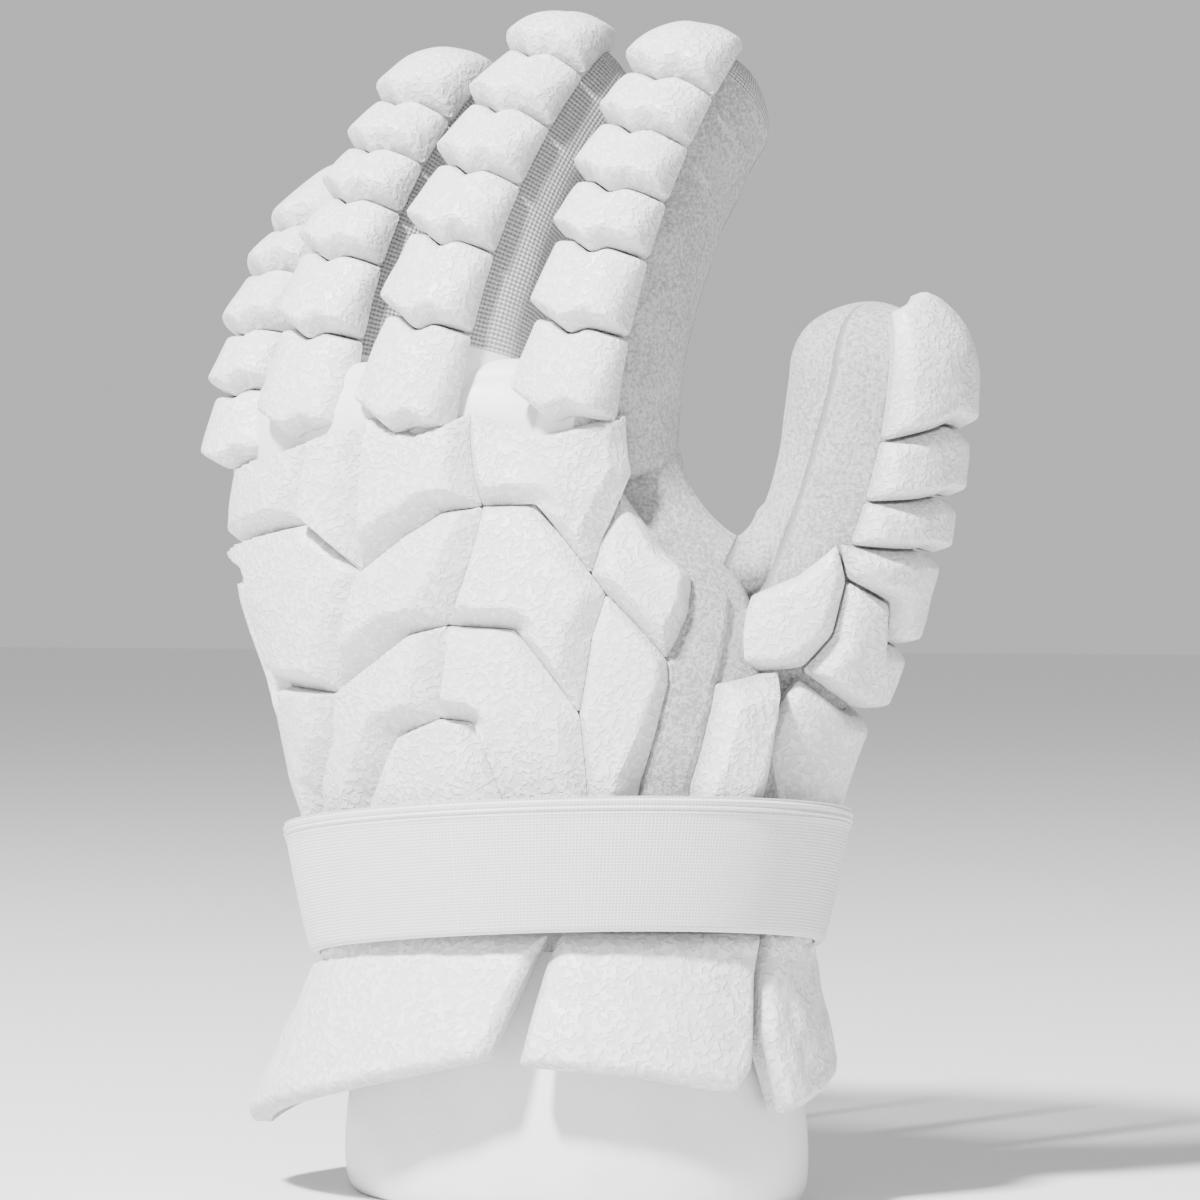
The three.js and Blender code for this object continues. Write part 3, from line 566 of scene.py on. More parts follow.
def ramp(nodes, links, value, low, high, start, end):
    node = nodes.new("ShaderNodeMapRange")
    node.interpolation_type = "SMOOTHSTEP"
    for key, number in (("From Min", low), ("From Max", high), ("To Min", start), ("To Max", end)):
        node.inputs[key].default_value = number
    links.new(value, node.inputs["Value"])
    return node.outputs["Result"]


def tint(nodes, links, factor, dark, light, target):
    node = nodes.new("ShaderNodeMix")
    node.data_type = "RGBA"
    node.inputs["A"].default_value = (*dark, 1)
    node.inputs["B"].default_value = (*light, 1)
    links.new(factor, node.inputs["Factor"])
    links.new(node.outputs["Result"], target)


def bump(nodes, links, height, distance, strength, shader, before=None):
    node = nodes.new("ShaderNodeBump")
    node.inputs["Distance"].default_value = distance
    node.inputs["Strength"].default_value = strength
    links.new(height, node.inputs["Height"])
    if before is not None:
        links.new(before, node.inputs["Normal"])
    links.new(node.outputs["Normal"], shader.inputs["Normal"])
    return node.outputs["Normal"]


def wrinkled_leather(name, size, depth, tone=0.83, roughness=0.5):
    """Coated leather embossed with short wrinkles of a size, in metres. Its colour carries painted shade: darker in the
    wrinkles' grooves, and down a pad's slopes and walls by the depth mark.
    """
    made, nodes, links, shader = material(name, (tone,) * 3, roughness)
    place = nodes.new("ShaderNodeTexCoord").outputs["Object"]
    field = noise_node(nodes, links, place, 1 / size, 0.5, 0.3, 0.6)
    worm = ramp(nodes, links, field, 0.43, 0.6, 0.0, 1.0)
    patch = ramp(nodes, links, noise_node(nodes, links, place, 70, 2.0), 0.3, 0.6, 0.55, 1.0)
    pores = noise_node(nodes, links, place, 2600, 2.0)
    grain = math_node(nodes, links, "MULTIPLY_ADD", worm, patch, math_node(nodes, links, "MULTIPLY", pores, 0.16))
    bump(nodes, links, grain, depth, 0.8, shader)
    # Painted shade by the depth mark: the colour darkens down a pad's slopes and is darkest on its walls.
    painted_valley_shade = nodes.new("ShaderNodeAttribute")
    painted_valley_shade.attribute_name = "depth"
    shade = ramp(nodes, links, painted_valley_shade.outputs["Fac"], 0.05, 1.0, 1.0, 0.55)
    # Painted shade in the wrinkles' grooves: the colour darkens where the grain is low.
    lit = math_node(nodes, links, "MULTIPLY", math_node(nodes, links, "MULTIPLY_ADD", grain, 0.3, 0.7), shade)
    tint(nodes, links, lit, (tone * 0.4,) * 3, (tone * 1.02,) * 3, shader.inputs["Base Color"])
    links.new(ramp(nodes, links, grain, 0.0, 1.0, roughness + 0.08, roughness - 0.06), shader.inputs["Roughness"])
    return made


def suede(name, tone=0.5):
    made, nodes, links, shader = material(name, (tone,) * 3, 0.95)
    shader.inputs["Sheen Weight"].default_value = 0.25
    shader.inputs["Sheen Roughness"].default_value = 0.6
    shader.inputs["Specular IOR Level"].default_value = 0.2
    place = nodes.new("ShaderNodeTexCoord").outputs["Object"]
    nap = noise_node(nodes, links, place, 1500, 4.0, 0.7)
    speck = noise_node(nodes, links, place, 950, 3.0, 0.75)
    patch = noise_node(nodes, links, place, 45, 3.0)
    mix = math_node(nodes, links, "MULTIPLY_ADD", speck, 0.8, math_node(nodes, links, "MULTIPLY", patch, 0.2))
    line = nodes.new("ShaderNodeAttribute")
    line.attribute_name = "seam"
    gap = math_node(nodes, links, "ABSOLUTE", math_node(nodes, links, "SUBTRACT", line.outputs["Fac"], SEAM_MARK))
    shade = ramp(nodes, links, gap, 0.25, 1.1, 0.0, 1.0)
    edge = nodes.new("ShaderNodeAttribute")
    edge.attribute_name = "stitch"
    run = nodes.new("ShaderNodeAttribute")
    run.attribute_name = "run"
    near = math_node(nodes, links, "ABSOLUTE", math_node(nodes, links, "SUBTRACT", edge.outputs["Fac"], STITCH_INSET))
    beat = math_node(nodes, links, "SINE", math_node(nodes, links, "MULTIPLY", run.outputs["Fac"], 2.0))
    dash = math_node(nodes, links, "GREATER_THAN", beat, -0.35)
    thread = math_node(nodes, links, "MULTIPLY", math_node(nodes, links, "LESS_THAN", near, 0.32), dash)
    shade = math_node(nodes, links, "MULTIPLY", shade, math_node(nodes, links, "SUBTRACT", 1.0, thread))
    dark = math_node(nodes, links, "MULTIPLY", ramp(nodes, links, mix, 0.4, 0.6, 0.1, 1.0), shade)
    tint(nodes, links, dark, (tone * 0.55,) * 3, (tone * 1.06,) * 3, shader.inputs["Base Color"])
    first = bump(nodes, links, shade, 0.0008, 0.7, shader)
    pucker = noise_node(nodes, links, place, 55, 4.0, 0.6, 0.8)
    second = bump(nodes, links, pucker, 0.0035, 0.5, shader, first)
    bump(nodes, links, nap, 0.0004, 0.8, shader, second)
    return made


def knit(name, tone=0.52, course=1.15):
    """Knitted mesh: rows of ribs with small holes between them, laid out by the piece's own map."""
    made, nodes, links, shader = material(name, (tone,) * 3, 0.9)
    shader.inputs["Sheen Weight"].default_value = 0.3
    shader.inputs["Specular IOR Level"].default_value = 0.2
    split = nodes.new("ShaderNodeSeparateXYZ")
    links.new(nodes.new("ShaderNodeUVMap").outputs["UV"], split.inputs["Vector"])
    turns = 2 * math.pi * 1000 / course
    across = math_node(nodes, links, "SINE", math_node(nodes, links, "MULTIPLY", split.outputs["X"], turns * 1.15))
    along = math_node(nodes, links, "SINE", math_node(nodes, links, "MULTIPLY", split.outputs["Y"], turns))
    weave = math_node(nodes, links, "MULTIPLY_ADD", across, 0.4, math_node(nodes, links, "MULTIPLY", along, 0.75))
    place = nodes.new("ShaderNodeTexCoord").outputs["Object"]
    fuzz = noise_node(nodes, links, place, 1800, 3.0)
    height = math_node(nodes, links, "MULTIPLY_ADD", fuzz, 0.5, weave)
    # Painted shade: the colour is darker in the holes and between the ribs, where the weave is low, and lighter on the
    # ribs. The fuzz adds a fine random tone.
    shade = ramp(nodes, links, height, -0.75, 0.85, 0.0, 1.0)
    tint(nodes, links, shade, (tone * 0.5,) * 3, (tone * 1.18,) * 3, shader.inputs["Base Color"])
    bump(nodes, links, height, 0.00035, 0.8, shader)
    return made


def webbing(name, tone=0.8, thread=0.85):
    """Woven tape: a fine crosshatch of threads, laid out by the piece's own map."""
    made, nodes, links, shader = material(name, (tone,) * 3, 0.72)
    shader.inputs["Sheen Weight"].default_value = 0.15
    split = nodes.new("ShaderNodeSeparateXYZ")
    links.new(nodes.new("ShaderNodeUVMap").outputs["UV"], split.inputs["Vector"])
    turns = 2 * math.pi * 1000 / thread
    across = math_node(nodes, links, "SINE", math_node(nodes, links, "MULTIPLY", split.outputs["X"], turns))
    along = math_node(nodes, links, "SINE", math_node(nodes, links, "MULTIPLY", split.outputs["Y"], turns))
    weave = math_node(nodes, links, "MAXIMUM", across, along)
    place = nodes.new("ShaderNodeTexCoord").outputs["Object"]
    worn = noise_node(nodes, links, place, 160, 3.0)
    height = math_node(nodes, links, "MULTIPLY_ADD", worn, 0.5, math_node(nodes, links, "MULTIPLY", weave, 0.5))
    # The colour darkens where the height is low: painted shade in the gaps between the threads, plus a random patchy
    # tone from the worn noise.
    shade = ramp(nodes, links, height, -0.3, 0.75, 0.0, 1.0)
    tint(nodes, links, shade, (tone * 0.8,) * 3, (tone * 1.03,) * 3, shader.inputs["Base Color"])
    bump(nodes, links, height, 0.00025, 0.8, shader)
    return made


def smooth_leather(name, tone=0.85):
    made, nodes, links, shader = material(name, (tone,) * 3, 0.42)
    place = nodes.new("ShaderNodeTexCoord").outputs["Object"]
    pores = noise_node(nodes, links, place, 1300, 3.0)
    soft = noise_node(nodes, links, place, 30, 3.0, 0.5, 1.2)
    first = bump(nodes, links, soft, 0.003, 0.35, shader)
    bump(nodes, links, pores, 0.00012, 0.6, shader, first)
    tint(nodes, links, soft, (tone * 0.96,) * 3, (tone,) * 3, shader.inputs["Base Color"])
    links.new(ramp(nodes, links, soft, 0.3, 0.7, 0.36, 0.5), shader.inputs["Roughness"])
    return made


pad_leather = wrinkled_leather("pad_leather", 0.0016, 0.0003)
cuff_leather = wrinkled_leather("cuff_leather", 0.0019, 0.0003, 0.84)
palm_suede = suede("palm_suede")
finger_knit = knit("finger_knit")
strap_web = webbing("strap_web")
liner_leather = smooth_leather("liner_leather")

# Pads on the back of the hand, by their corners: turn in degrees and rise as a share of the hand's length
SEAMS = {
    "knuckleFar": (-92, 0.8), "knuckleLittle": (-31, 0.85), "knuckleRing": (-21, 0.865),
    "knuckleRingEnd": (-4, 0.9), "notchMiddle": (8.5, 0.87), "knuckleMiddleEnd": (22, 0.905),
    "notchIndex": (39, 0.865), "knuckleIndexEnd": (56.5, 0.9), "webTop": (56.5, 0.8),
    "firstFar": (-98, 0.66), "firstRing": (-28, 0.72), "firstValley": (-13.8, 0.635),
    "firstBend": (0, 0.7), "firstRise": (10, 0.737), "firstCross": (20, 0.747),
    "firstShoulder": (32.5, 0.75), "firstTip": (38.5, 0.632), "slitTop": (46, 0.705),
    "edgeFar": (-112, 0.64), "edgeHem": (-112, 0.1), "secondFar": (-56, 0.62), "secondEdge": (-60, 0.44),
    "secondTip": (-31, 0.43), "secondBend": (-15.5, 0.49), "secondRise": (-6, 0.532),
    "secondCross": (3.5, 0.547), "secondShoulder": (18, 0.54), "thirdTip": (27.5, 0.4),
    "secondSlit": (34.5, 0.53), "webCross": (40.4, 0.6), "webLow": (51, 0.49), "webSide": (60.5, 0.57),
    "webCorner": (65, 0.63), "webBand": (59, 0.68), "thirdEdge": (-35.5, 0.345), "thirdLow": (-48, 0.24),
    "thirdHem": (-54, 0.1), "centreTop": (-4.5, 0.39), "centreLeft": (-15.5, 0.36),
    "centreSide": (-26.5, 0.25), "centreHemLeft": (-34, 0.1), "centreRight": (3, 0.385),
    "centreHemRight": (11, 0.1), "thumbHem": (24, 0.1), "stripSide": (50, 0.45), "stripLow": (38.5, 0.287),
    "stripHem": (31, 0.1), "stripFarTop": (79, 0.6), "stripFarSide": (64.5, 0.45),
    "stripFarLow": (51.5, 0.287), "stripFarHem": (44, 0.1), "baseTop": (90, 0.47), "baseSide": (80, 0.36),
    "baseLow": (70, 0.24), "baseHem": (66, 0.1),
}
BACK_PADS = {
    "little_1": "knuckleFar firstFar firstRing knuckleRing knuckleLittle",
    "ring_1": "knuckleRing firstRing firstValley knuckleRingEnd",
    "middle_1": "knuckleRingEnd firstValley firstBend firstRise firstCross knuckleMiddleEnd notchMiddle",
    "index_1": "knuckleMiddleEnd firstCross firstShoulder firstTip slitTop webTop knuckleIndexEnd notchIndex",
    "ring_2": "firstFar secondFar secondEdge secondTip firstValley firstRing",
    "middle_2": "firstValley secondTip secondBend secondRise secondCross firstCross firstRise firstBend",
    "index_2": "firstCross secondCross secondShoulder thirdTip secondSlit webCross firstTip firstShoulder",
    "middle_3": "secondTip thirdEdge thirdLow thirdHem centreHemLeft centreSide centreLeft centreTop secondCross"
    " secondRise secondBend",
    "index_3": "secondCross centreTop centreRight centreHemRight thumbHem thirdTip secondShoulder",
    "centre": "centreTop centreLeft centreSide centreHemLeft centreHemRight centreRight",
    "thumb_1": "firstTip webCross webLow webSide webCorner webBand webTop slitTop",
    "edge": "edgeFar edgeHem thirdHem thirdLow thirdEdge secondTip secondEdge secondFar",
    "thumb_2": "webCross secondSlit thirdTip thumbHem stripHem stripLow stripSide webLow",
}


def corners_of(names):
    return [SEAMS[name] for name in names.split()]


for number, (name, names) in enumerate(BACK_PADS.items()):
    pad(f"back_{name}", hand_sheet, corners_of(names), HAND_PAD, pad_leather, f"back_pad_{name}",
        seed=number, over=DIGITS["index"] if name == "index_1" else None)

# The stitched suede strip, with its stitches a little inside each edge
STRIP_LEFT = "webCorner webSide webLow stripSide stripLow stripHem"
STRIP_RIGHT = "stripFarHem stripFarLow stripFarSide stripFarTop"
pad("strip", hand_sheet, corners_of(STRIP_LEFT + " " + STRIP_RIGHT), 1.9, palm_suede, "suede_strip",
    levels=(1.1,) * 4, widths=(1.4,) * 4, tilt=0, softness=0.15, uneven=0.2, gap=0.3, stitched=True)

THUMB_ROOT = "stripFarSide stripFarLow stripFarHem baseHem baseLow baseSide baseTop"
pad("thumb_root", hand_sheet, corners_of(THUMB_ROOT), THUMB_PAD, pad_leather, "thumb_base_pad_root",
    levels=(3, 5, 4.5, 5), widths=(9, 6, 3, 2.5), tilt=1, seed=31)
THUMB_PADS = {
    "base_pad_outer": [(-70, -0.04), (52, 0.03), (56, 0.27), (-22, 0.275), (-66, 0.3), (-90, 0.19)],
    "base_pad_inner": [(-106, 0.15), (-68, 0.315), (-60, 0.415), (-65, 0.538), (-77, 0.61), (-93, 0.51), (-116, 0.42)],
    "pad_1": [(-68, 0.315), (-24, 0.29), (56, 0.285), (56, 0.43), (-20, 0.44), (-32, 0.52), (-65, 0.538), (-60, 0.415)],
    "pad_2": [(-65, 0.538), (-32, 0.52), (-20, 0.44), (56, 0.43), (58, 0.625), (-20, 0.64), (-69, 0.61), (-77, 0.61)],
    "pad_3": [(-69, 0.61), (-20, 0.64), (58, 0.625), (60, 0.745), (-15, 0.755), (-67, 0.71)],
    "pad_4": [(-67, 0.71), (-15, 0.755), (60, 0.745), (62, 0.88), (-20, 0.9), (-65, 0.845)],
    "pad_5": [(-65, 0.845), (-20, 0.9), (62, 0.88), (64, 1.12), (-20, 1.18), (-64, 1.12)],
}
STRIP_AND_ROOT = STRIP_LEFT + " stripFarHem baseHem baseLow baseSide baseTop stripFarSide stripFarTop"
beside_root = inset(hand_sheet.flatten(corners_of(STRIP_AND_ROOT)), -0.5)
for number, (name, corners) in enumerate(THUMB_PADS.items()):
    pad(f"thumb_{name}", digit_sheets["thumb"], corners, THUMB_PAD, pad_leather, f"thumb_{name}",
        levels=(6, 5, 5.5, 5), widths=(4, 3, 5, 3.2), tilt=2.4, softness=0.45, seed=40 + number, gap=0.9,
        beside=beside_root if name.startswith("base") else None)

FINGER_PADS = {
    "index": ((0.075, 0.28, 0.475, 0.625, 0.78, 0.93, 1.14), (-42, 50)),
    "middle": ((0.05, 0.275, 0.465, 0.635, 0.795, 0.955, 1.16), (-45, 48)),
    "ring": ((0.05, 0.28, 0.47, 0.615, 0.755, 0.9, 1.16), (-44, 50)),
    "little": ((0.04, 0.25, 0.435, 0.63, 0.79, 1.14), (-60, 52)),
}
CHEVRON = [(-1, 0.03), (-0.45, 0.014), (0.1, -0.018), (0.36, 0.004), (1, -0.002)]
for finger, (rows, reach) in FINGER_PADS.items():
    def groove(row):
        return [(side * (-reach[0] if side < 0 else reach[1]), row + (0 if row > 1 else dip)) for side, dip in CHEVRON]

    for number in range(len(rows) - 1):
        corners = groove(rows[number]) + groove(rows[number + 1])[::-1]
        pad(f"{finger}_block_{number + 1}", digit_sheets[finger], corners, FINGER_PAD, pad_leather,
            f"{finger}_pad_{number + 1}", gap=0.5, levels=(4.0, 2.8, 4.4, 3.4), widths=(7, 2.2, 3.4, 2.9), tilt=4.6,
            softness=0.6, corner=2, seed=60 + number + len(finger) * 7)

# The cuff's padded skirt
SKIRT_PADS = {
    "outer": [(-100, 0.12), (-72, 0.02), (10.5, 0.435), (16.5, 1), (-100, 1)],
    "front": [(17, 0.42), (40, 0.38), (65, 0.293), (70, 0.395), (74.5, 1), (18.5, 1)],
    "inner": [(79, 0.18), (112, 0.31), (135, 0.33), (135, 1), (76, 1), (72.5, 0.55)],
}
for number, (name, corners) in enumerate(SKIRT_PADS.items()):
    pad(f"skirt_{name}", skirt_sheet, corners, CUFF_PAD, cuff_leather, f"cuff_pad_{name}",
        gap=0.8, levels=(5.3, 5.3, 5.3, 5.0), widths=(2.6, 2.6, 2.6, 2.8), tilt=0, softness=0.5, corner=2, step=1.3,
        uneven=0.35, seed=90 + number)


# The digits' sleeves, with a lining inside
def sleeve(name, start, material_, extra=None, bulge=0.0, sides=80, rows=110, wall=2.0):
    digit = DIGITS[name]
    end = digit.arc + QUARTER * digit.half_width * 0.995
    stations = np.linspace(start, end, rows)
    turns = np.linspace(0, 2 * math.pi, sides, endpoint=False)
    turn, along = np.meshgrid(turns, stations)
    side = (turn.ravel() + math.pi) % (2 * math.pi) - math.pi
    roll = bulge * np.exp(-(((side - ROLL_TURN) / ROLL_WIDTH) ** 2)) * np.clip(1.15 - along.ravel() / digit.arc, 0, 1)
    tuck = -SLEEVE_TUCK * np.minimum(along.ravel(), 0) ** 2 + roll
    outer = digit.point(turn.ravel(), along.ravel(), tuck)
    inner = digit.point(turn.ravel(), along.ravel(), tuck - wall)
    outer = outer + (0.35 * waves(outer, 16, 3))[:, None] * (outer - inner) / wall
    points = np.concatenate([outer, inner])
    faces = grid_faces(rows, sides) + grid_faces(rows, sides, rows * sides, True)
    rim = [(i, rows * sides + i, rows * sides + (i + 1) % sides, (i + 1) % sides) for i in range(sides)]
    faces += rim
    faces.append(tuple((rows - 1) * sides + i for i in range(sides)))
    faces.append(tuple((2 * rows - 1) * sides + i for i in range(sides))[::-1])
    signed = (turn.ravel() + math.pi) % (2 * math.pi) - math.pi
    uv = np.stack([signed * digit.half_width * 1.1, along.ravel()], -1)
    uv = np.concatenate([uv, uv])
    marks, indices, materials = None, None, [material_]
    if extra:
        marks, indices, materials = extra(digit, signed, along.ravel(), faces)
    new_piece(f"{name}_sleeve_skin", points, faces, materials, [f"{name}_sleeve"], uv=uv, marks=marks,
              indices=indices)


def index_regions(digit, turn, along, faces):
    """Suede on the outer and palm sides of the index finger, white leather at its inner root, knit above that"""
    turns = np.degrees(np.concatenate([turn, turn]))
    share = np.concatenate([along, along]) / digit.arc
    indices = []
    for face in faces:
        middle = turns[list(face[:2])].mean()
        if 20 < middle and share[face[0]] < 1.02 or middle < -120:
            indices.append(1)
        else:
            indices.append(2 if share[face[0]] < 0.3 else 0)
    seam = SEAM_MARK + (turns - 128) * digit.half_width / DEGREES_IN_A_RADIAN
    return {"seam": seam}, indices, [finger_knit, palm_suede, liner_leather]


def thumb_regions(digit, turn, along, faces):
    """A seam runs up the thumb's suede between its pads and the web."""
    share = along / digit.arc
    bow = -103 - 14 * np.sin(np.clip(share, 0, 1) * math.pi)
    seam = SEAM_MARK + (np.degrees(turn) - bow) * digit.half_width / DEGREES_IN_A_RADIAN
    return {"seam": np.concatenate([seam, seam])}, [0] * len(faces), [palm_suede]


def finger_regions(digit, turn, along, faces):
    """Suede on the palm side, knit between the fingers, and white leather at the root of the back"""
    share = np.concatenate([along, along]) / digit.arc
    turns = np.degrees(np.concatenate([turn, turn]))
    indices = []
    for face in faces:
        palm = abs(turns[face[0]]) > PALM_FROM
        indices.append(1 if palm else 2 if share[face[0]] < 0.24 else 0)
    seam = SEAM_MARK + (np.abs(turns) - PALM_FROM) * digit.half_width / DEGREES_IN_A_RADIAN
    return {"seam": seam}, indices, [finger_knit, palm_suede, liner_leather]


for finger, bulge in SLEEVE_ROLLS.items():
    sleeve(finger, SLEEVE_START, finger_knit, finger_regions, bulge)
sleeve("index", SLEEVE_START, finger_knit, index_regions)
sleeve("thumb", SLEEVE_START, palm_suede, thumb_regions)


# The shell of the hand: suede palm, white leather between the knuckles
def hand_shell(sides=160, rows=90, wall=2.4, shoulder=7.0):
    heights = np.linspace(CUFF_HEIGHT, CUFF_HEIGHT + HAND_LENGTH - shoulder, rows)
    turns = np.linspace(-math.pi, math.pi, sides, endpoint=False)
    lifts = np.linspace(0, QUARTER, 9)[1:]
    rings = []
    for offset in (0.0, -wall):
        for height in heights:
            rings.append(hand_point(turns, np.full(sides, height), offset))
        for lift in lifts:
            ring = hand_point(turns, np.full(sides, heights[-1]), offset - shoulder * (1 - math.cos(lift)))
            ring[:, 2] += shoulder * math.sin(lift) - (wall if offset else 0)
            rings.append(ring)
    count = rows + len(lifts)
    points = np.concatenate(rings)
    outer = points[: count * sides]
    outer += (0.3 * waves(outer, 18, 9))[:, None] * np.array([0.3, -0.9, 0.2])
    faces = grid_faces(count, sides) + grid_faces(count, sides, count * sides, True)
    faces += [(i, count * sides + i, count * sides + (i + 1) % sides, (i + 1) % sides) for i in range(sides)]
    faces.append(tuple((count - 1) * sides + i for i in range(sides)))
    faces.append(tuple((2 * count - 1) * sides + i for i in range(sides))[::-1])
    indices = []
    for face in faces:
        centre = points[list(face[:4])].mean(0)
        side = hand_point(np.array([QUARTER]), np.array([centre[2]]), 0.0)[0]
        white = centre[1] < side[1] - 4 and centre[2] > 190 and centre[0] < 12
        indices.append(1 if white else 0)
    nodes = ["hand_back_low", "hand_back_high", "hand_palm_low", "hand_palm_high"]
    new_piece("hand_skin", points, faces, [palm_suede, liner_leather], nodes,
              marks={"seam": np.zeros(len(points))}, indices=indices)


hand_shell()


# The rolled web between thumb and index finger
WEB_PATH = [
    # across, back, rise
    (0.385, -0.19, 0.875), (0.465, -0.14, 0.7625), (0.575, -0.05, 0.693), (0.71, 0.085, 0.645),
    (0.8, 0.29, 0.657), (0.87, 0.45, 0.7275), (0.91, 0.51, 0.814),
]


def spline(points, count):
    """A Catmull-Rom curve through points, evenly stepped."""
    padded = np.concatenate([[2 * points[0] - points[1]], points, [2 * points[-1] - points[-2]]])
    fine = []
    for i in range(1, len(padded) - 2):
        p0, p1, p2, p3 = padded[i - 1 : i + 3]
        for t in np.linspace(0, 1, 20, endpoint=False):
            square, cube = 2 * p0 - 5 * p1 + 4 * p2 - p3, 3 * p1 - p0 - 3 * p2 + p3
            fine.append(0.5 * (2 * p1 + (p2 - p0) * t + square * t**2 + cube * t**3))
    fine = np.array(fine + [padded[-2]])
    travelled = np.concatenate([[0], np.cumsum(np.linalg.norm(np.diff(fine, axis=0), axis=1))])
    stations = np.linspace(0, travelled[-1], count)
    return np.stack([np.interp(stations, travelled, fine[:, k]) for k in range(3)], -1), stations


def web(half_width=8.5, half_depth=13.0, rows=70, sides=56):
    scale = np.array([HAND_HALF_WIDTH, HAND_HALF_DEPTH, HAND_LENGTH])
    path, stations = spline(np.array(WEB_PATH) * scale + np.array([0, 0, CUFF_HEIGHT]), rows)
    tangent = np.gradient(path, axis=0)
    tangent /= np.linalg.norm(tangent, axis=1)[:, None]
    deep = np.array([-0.5, 0.866, 0.0]) - tangent * (tangent @ np.array([-0.5, 0.866, 0.0]))[:, None]
    deep /= np.linalg.norm(deep, axis=1)[:, None]
    out = np.cross(deep, tangent)
    turns = np.linspace(0, 2 * math.pi, sides, endpoint=False)
    taper = np.sqrt(np.clip(np.minimum(stations * 5, stations[-1] - stations) / 16, 0.03, 1))[:, None, None]
    points = path[:, None] + taper * out[:, None] * (half_width * np.cos(turns))[None, :, None]
    points = points + taper * deep[:, None] * (half_depth * np.sin(turns))[None, :, None]
    points = points.reshape(-1, 3)
    points += 0.5 * waves(points, 13, 5)[:, None] * np.repeat(out, sides, 0)
    faces = grid_faces(rows, sides)
    faces.append(tuple(range(sides))[::-1])
    faces.append(tuple((rows - 1) * sides + i for i in range(sides)))
    seam = SEAM_MARK + np.repeat(stations - 0.52 * stations[-1], sides)
    from_front = np.abs((turns - 3 * QUARTER + math.pi) % (2 * math.pi) - math.pi)
    line = np.tile(STITCH_INSET + (from_front - 1.05) * half_width, rows)
    marks = {"seam": seam, "stitch": line, "run": np.repeat(stations, sides)}
    new_piece("web_roll", points, faces, [palm_suede], ["thumb_web"], marks=marks)


web()


# The cuff's liner and the strap round the wrist
def liner(sides=180, rows=60, wall=4.0, lip=2.0):
    turns = np.linspace(0, 2 * math.pi, sides, endpoint=False)
    profile = [(rise, 0.0) for rise in np.linspace(1, 0.03, rows)]
    profile += [(0.012, -0.35), (0.002, -1.1), (0.0, -lip), (0.002, lip - wall - 1.1 + 0.2), (0.012, lip - wall - 1.7)]
    profile += [(rise, -wall) for rise in np.linspace(0.04, 1, rows // 2)]
    rings = []
    for rise, offset in profile:
        half_width, half_depth = liner_section(np.array([rise]))[0]
        rings.append(
            np.stack(
                [
                    (half_width * CUFF_HALF_WIDTH + offset) * np.sin(turns),
                    -(half_depth * CUFF_HALF_DEPTH + offset) * np.cos(turns),
                    np.full(sides, rise * CUFF_HEIGHT),
                ],
                -1,
            )
        )
    points = np.concatenate(rings)
    outward = points * np.array([1, 1, 0])
    outward /= np.linalg.norm(outward, axis=1)[:, None]
    stretch = points * np.array([1, 1, 0.45])
    points = points + (0.7 * waves(stretch, 26, 2) * np.clip(points[:, 2] / 14, 0, 1))[:, None] * outward
    count = len(profile)
    faces = grid_faces(count, sides, 0, True)
    last = (count - 1) * sides
    faces += [(last + i, i, (i + 1) % sides, last + (i + 1) % sides) for i in range(sides)]
    new_piece("liner", points, faces, [liner_leather], ["cuff_liner"], smooth_under=70)


liner()


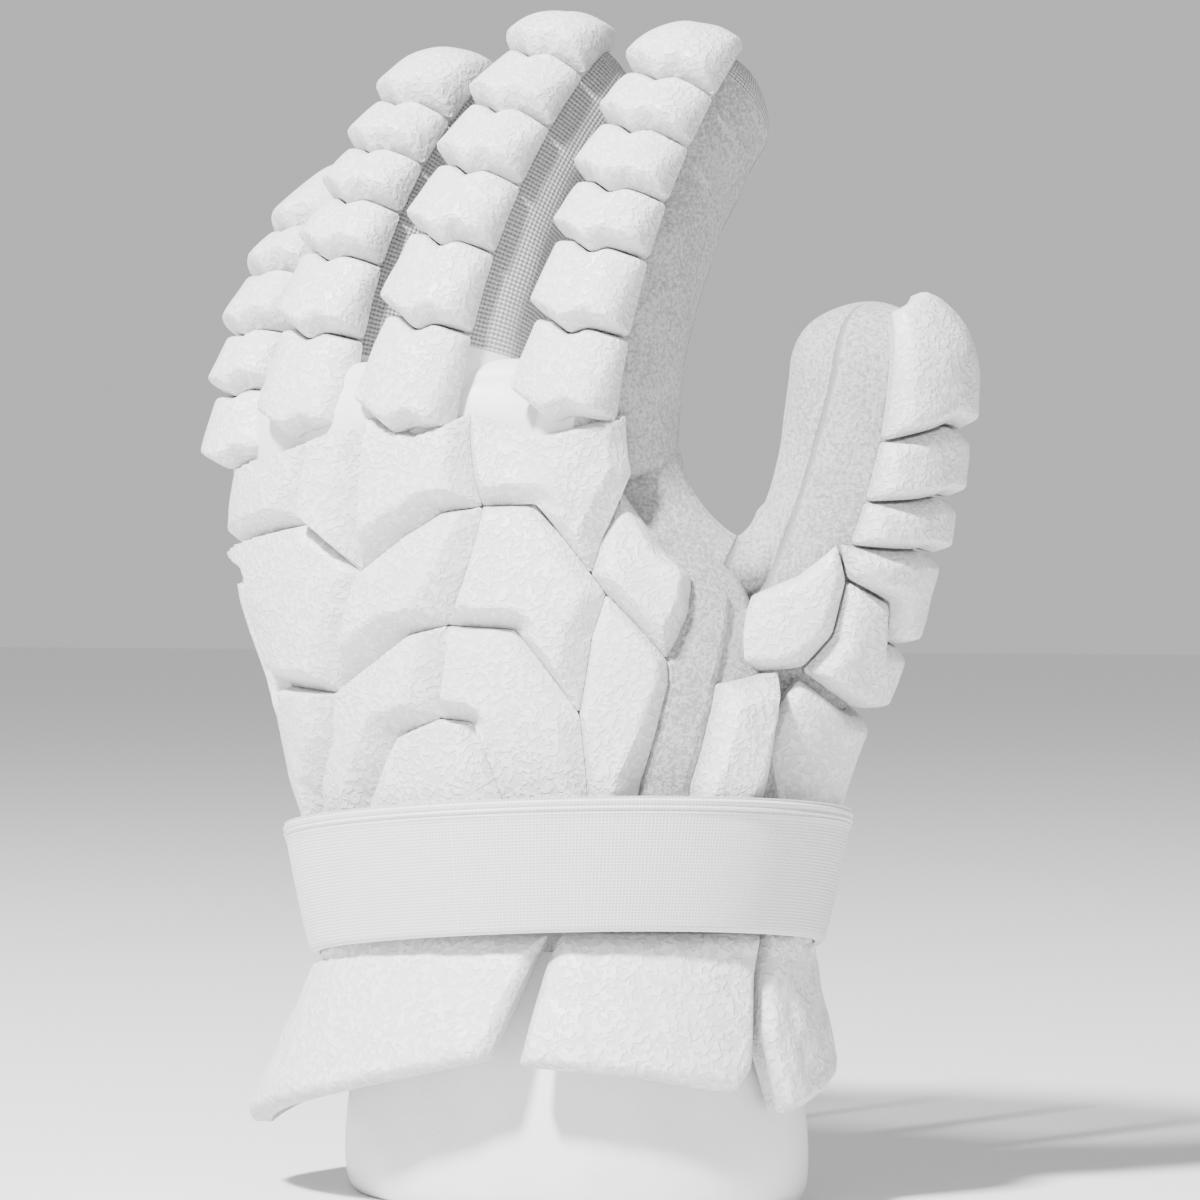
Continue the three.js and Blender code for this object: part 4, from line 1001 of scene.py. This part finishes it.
def strap(sides=240):
    turns = np.linspace(0, 2 * math.pi, sides, endpoint=False)
    shares = np.linspace(0.0, 1.0, 60)
    ridges = 0.25 + 0.35 * np.cos((1 - shares) * STRAP_HEIGHT * 2 * math.pi / 1.5)
    ridge = np.clip((shares - 0.84) / 0.05, 0, 1) * ridges
    foot, head = 0.9 * np.clip(1 - shares / 0.03, 0, 1), 0.9 * np.clip((shares - 0.97) / 0.03, 0, 1)
    outside = 0.35 * np.sin(shares * math.pi) + ridge - foot - head
    profile = [(share, offset) for share, offset in zip(shares, outside)]
    profile += [(share, -STRAP_THICKNESS) for share in np.linspace(0.99, 0.01, 30)]
    rings, maps = [], []
    for share, offset in profile:
        half_width = CUFF_HALF_WIDTH * (STRAP_FOOT[0] + (STRAP_HEAD[0] - STRAP_FOOT[0]) * share)
        half_depth = CUFF_HALF_DEPTH * (STRAP_FOOT[1] + (STRAP_HEAD[1] - STRAP_FOOT[1]) * share)
        rings.append(
            np.stack(
                [
                    STRAP_MIDDLE[0] + (half_width + offset) * np.sin(turns),
                    STRAP_MIDDLE[1] - (half_depth + offset) * np.cos(turns),
                    STRAP_FLOOR + STRAP_RISE * np.cos(turns - STRAP_PEAK) + share * STRAP_HEIGHT,
                ],
                -1,
            )
        )
        around = np.minimum(turns, 2 * math.pi - turns) * CUFF_HALF_WIDTH
        maps.append(np.stack([around, np.full(sides, share * STRAP_HEIGHT)], -1))
    points = np.concatenate(rings)
    count = len(profile)
    faces = grid_faces(count, sides)
    last = (count - 1) * sides
    faces += [(last + i, last + (i + 1) % sides, (i + 1) % sides, i) for i in range(sides)]
    new_piece("strap_band", points, faces, [strap_web], ["wrist_strap"], uv=np.concatenate(maps),
              smooth_under=60)


strap()


# Floor and light
def area_light(name, location, size, power, aim=(0.0, 0.0, 0.17)):
    data = bpy.data.lights.new(name, "AREA")
    data.shape, data.size, data.energy = "SQUARE", size, power
    lamp = bpy.data.objects.new(name, data)
    lamp.location = location
    lamp.rotation_euler = (Vector(location) - Vector(aim)).to_track_quat("Z", "Y").to_euler()
    bpy.context.scene.collection.objects.link(lamp)


def floor_and_light():
    mesh = bpy.data.meshes.new("floor")
    span = FLOOR_SPAN
    mesh.from_pydata([(-span, -span, 0), (span, -span, 0), (span, span, 0), (-span, span, 0)], [], [(0, 1, 2, 3)])
    mesh.materials.append(material("floor_paint", (FLOOR_TONE,) * 3, 0.9)[0])
    floor = bpy.data.objects.new("floor", mesh)
    bpy.context.scene.collection.objects.link(floor)
    world = bpy.data.worlds.new("studio")
    world.use_nodes = True
    world.node_tree.nodes["Background"].inputs["Color"].default_value = (1, 1, 1, 1)
    world.node_tree.nodes["Background"].inputs["Strength"].default_value = WORLD_STRENGTH
    bpy.context.scene.world = world
    area_light("key", KEY_PLACE, KEY_SIZE, KEY_POWER)


floor_and_light()
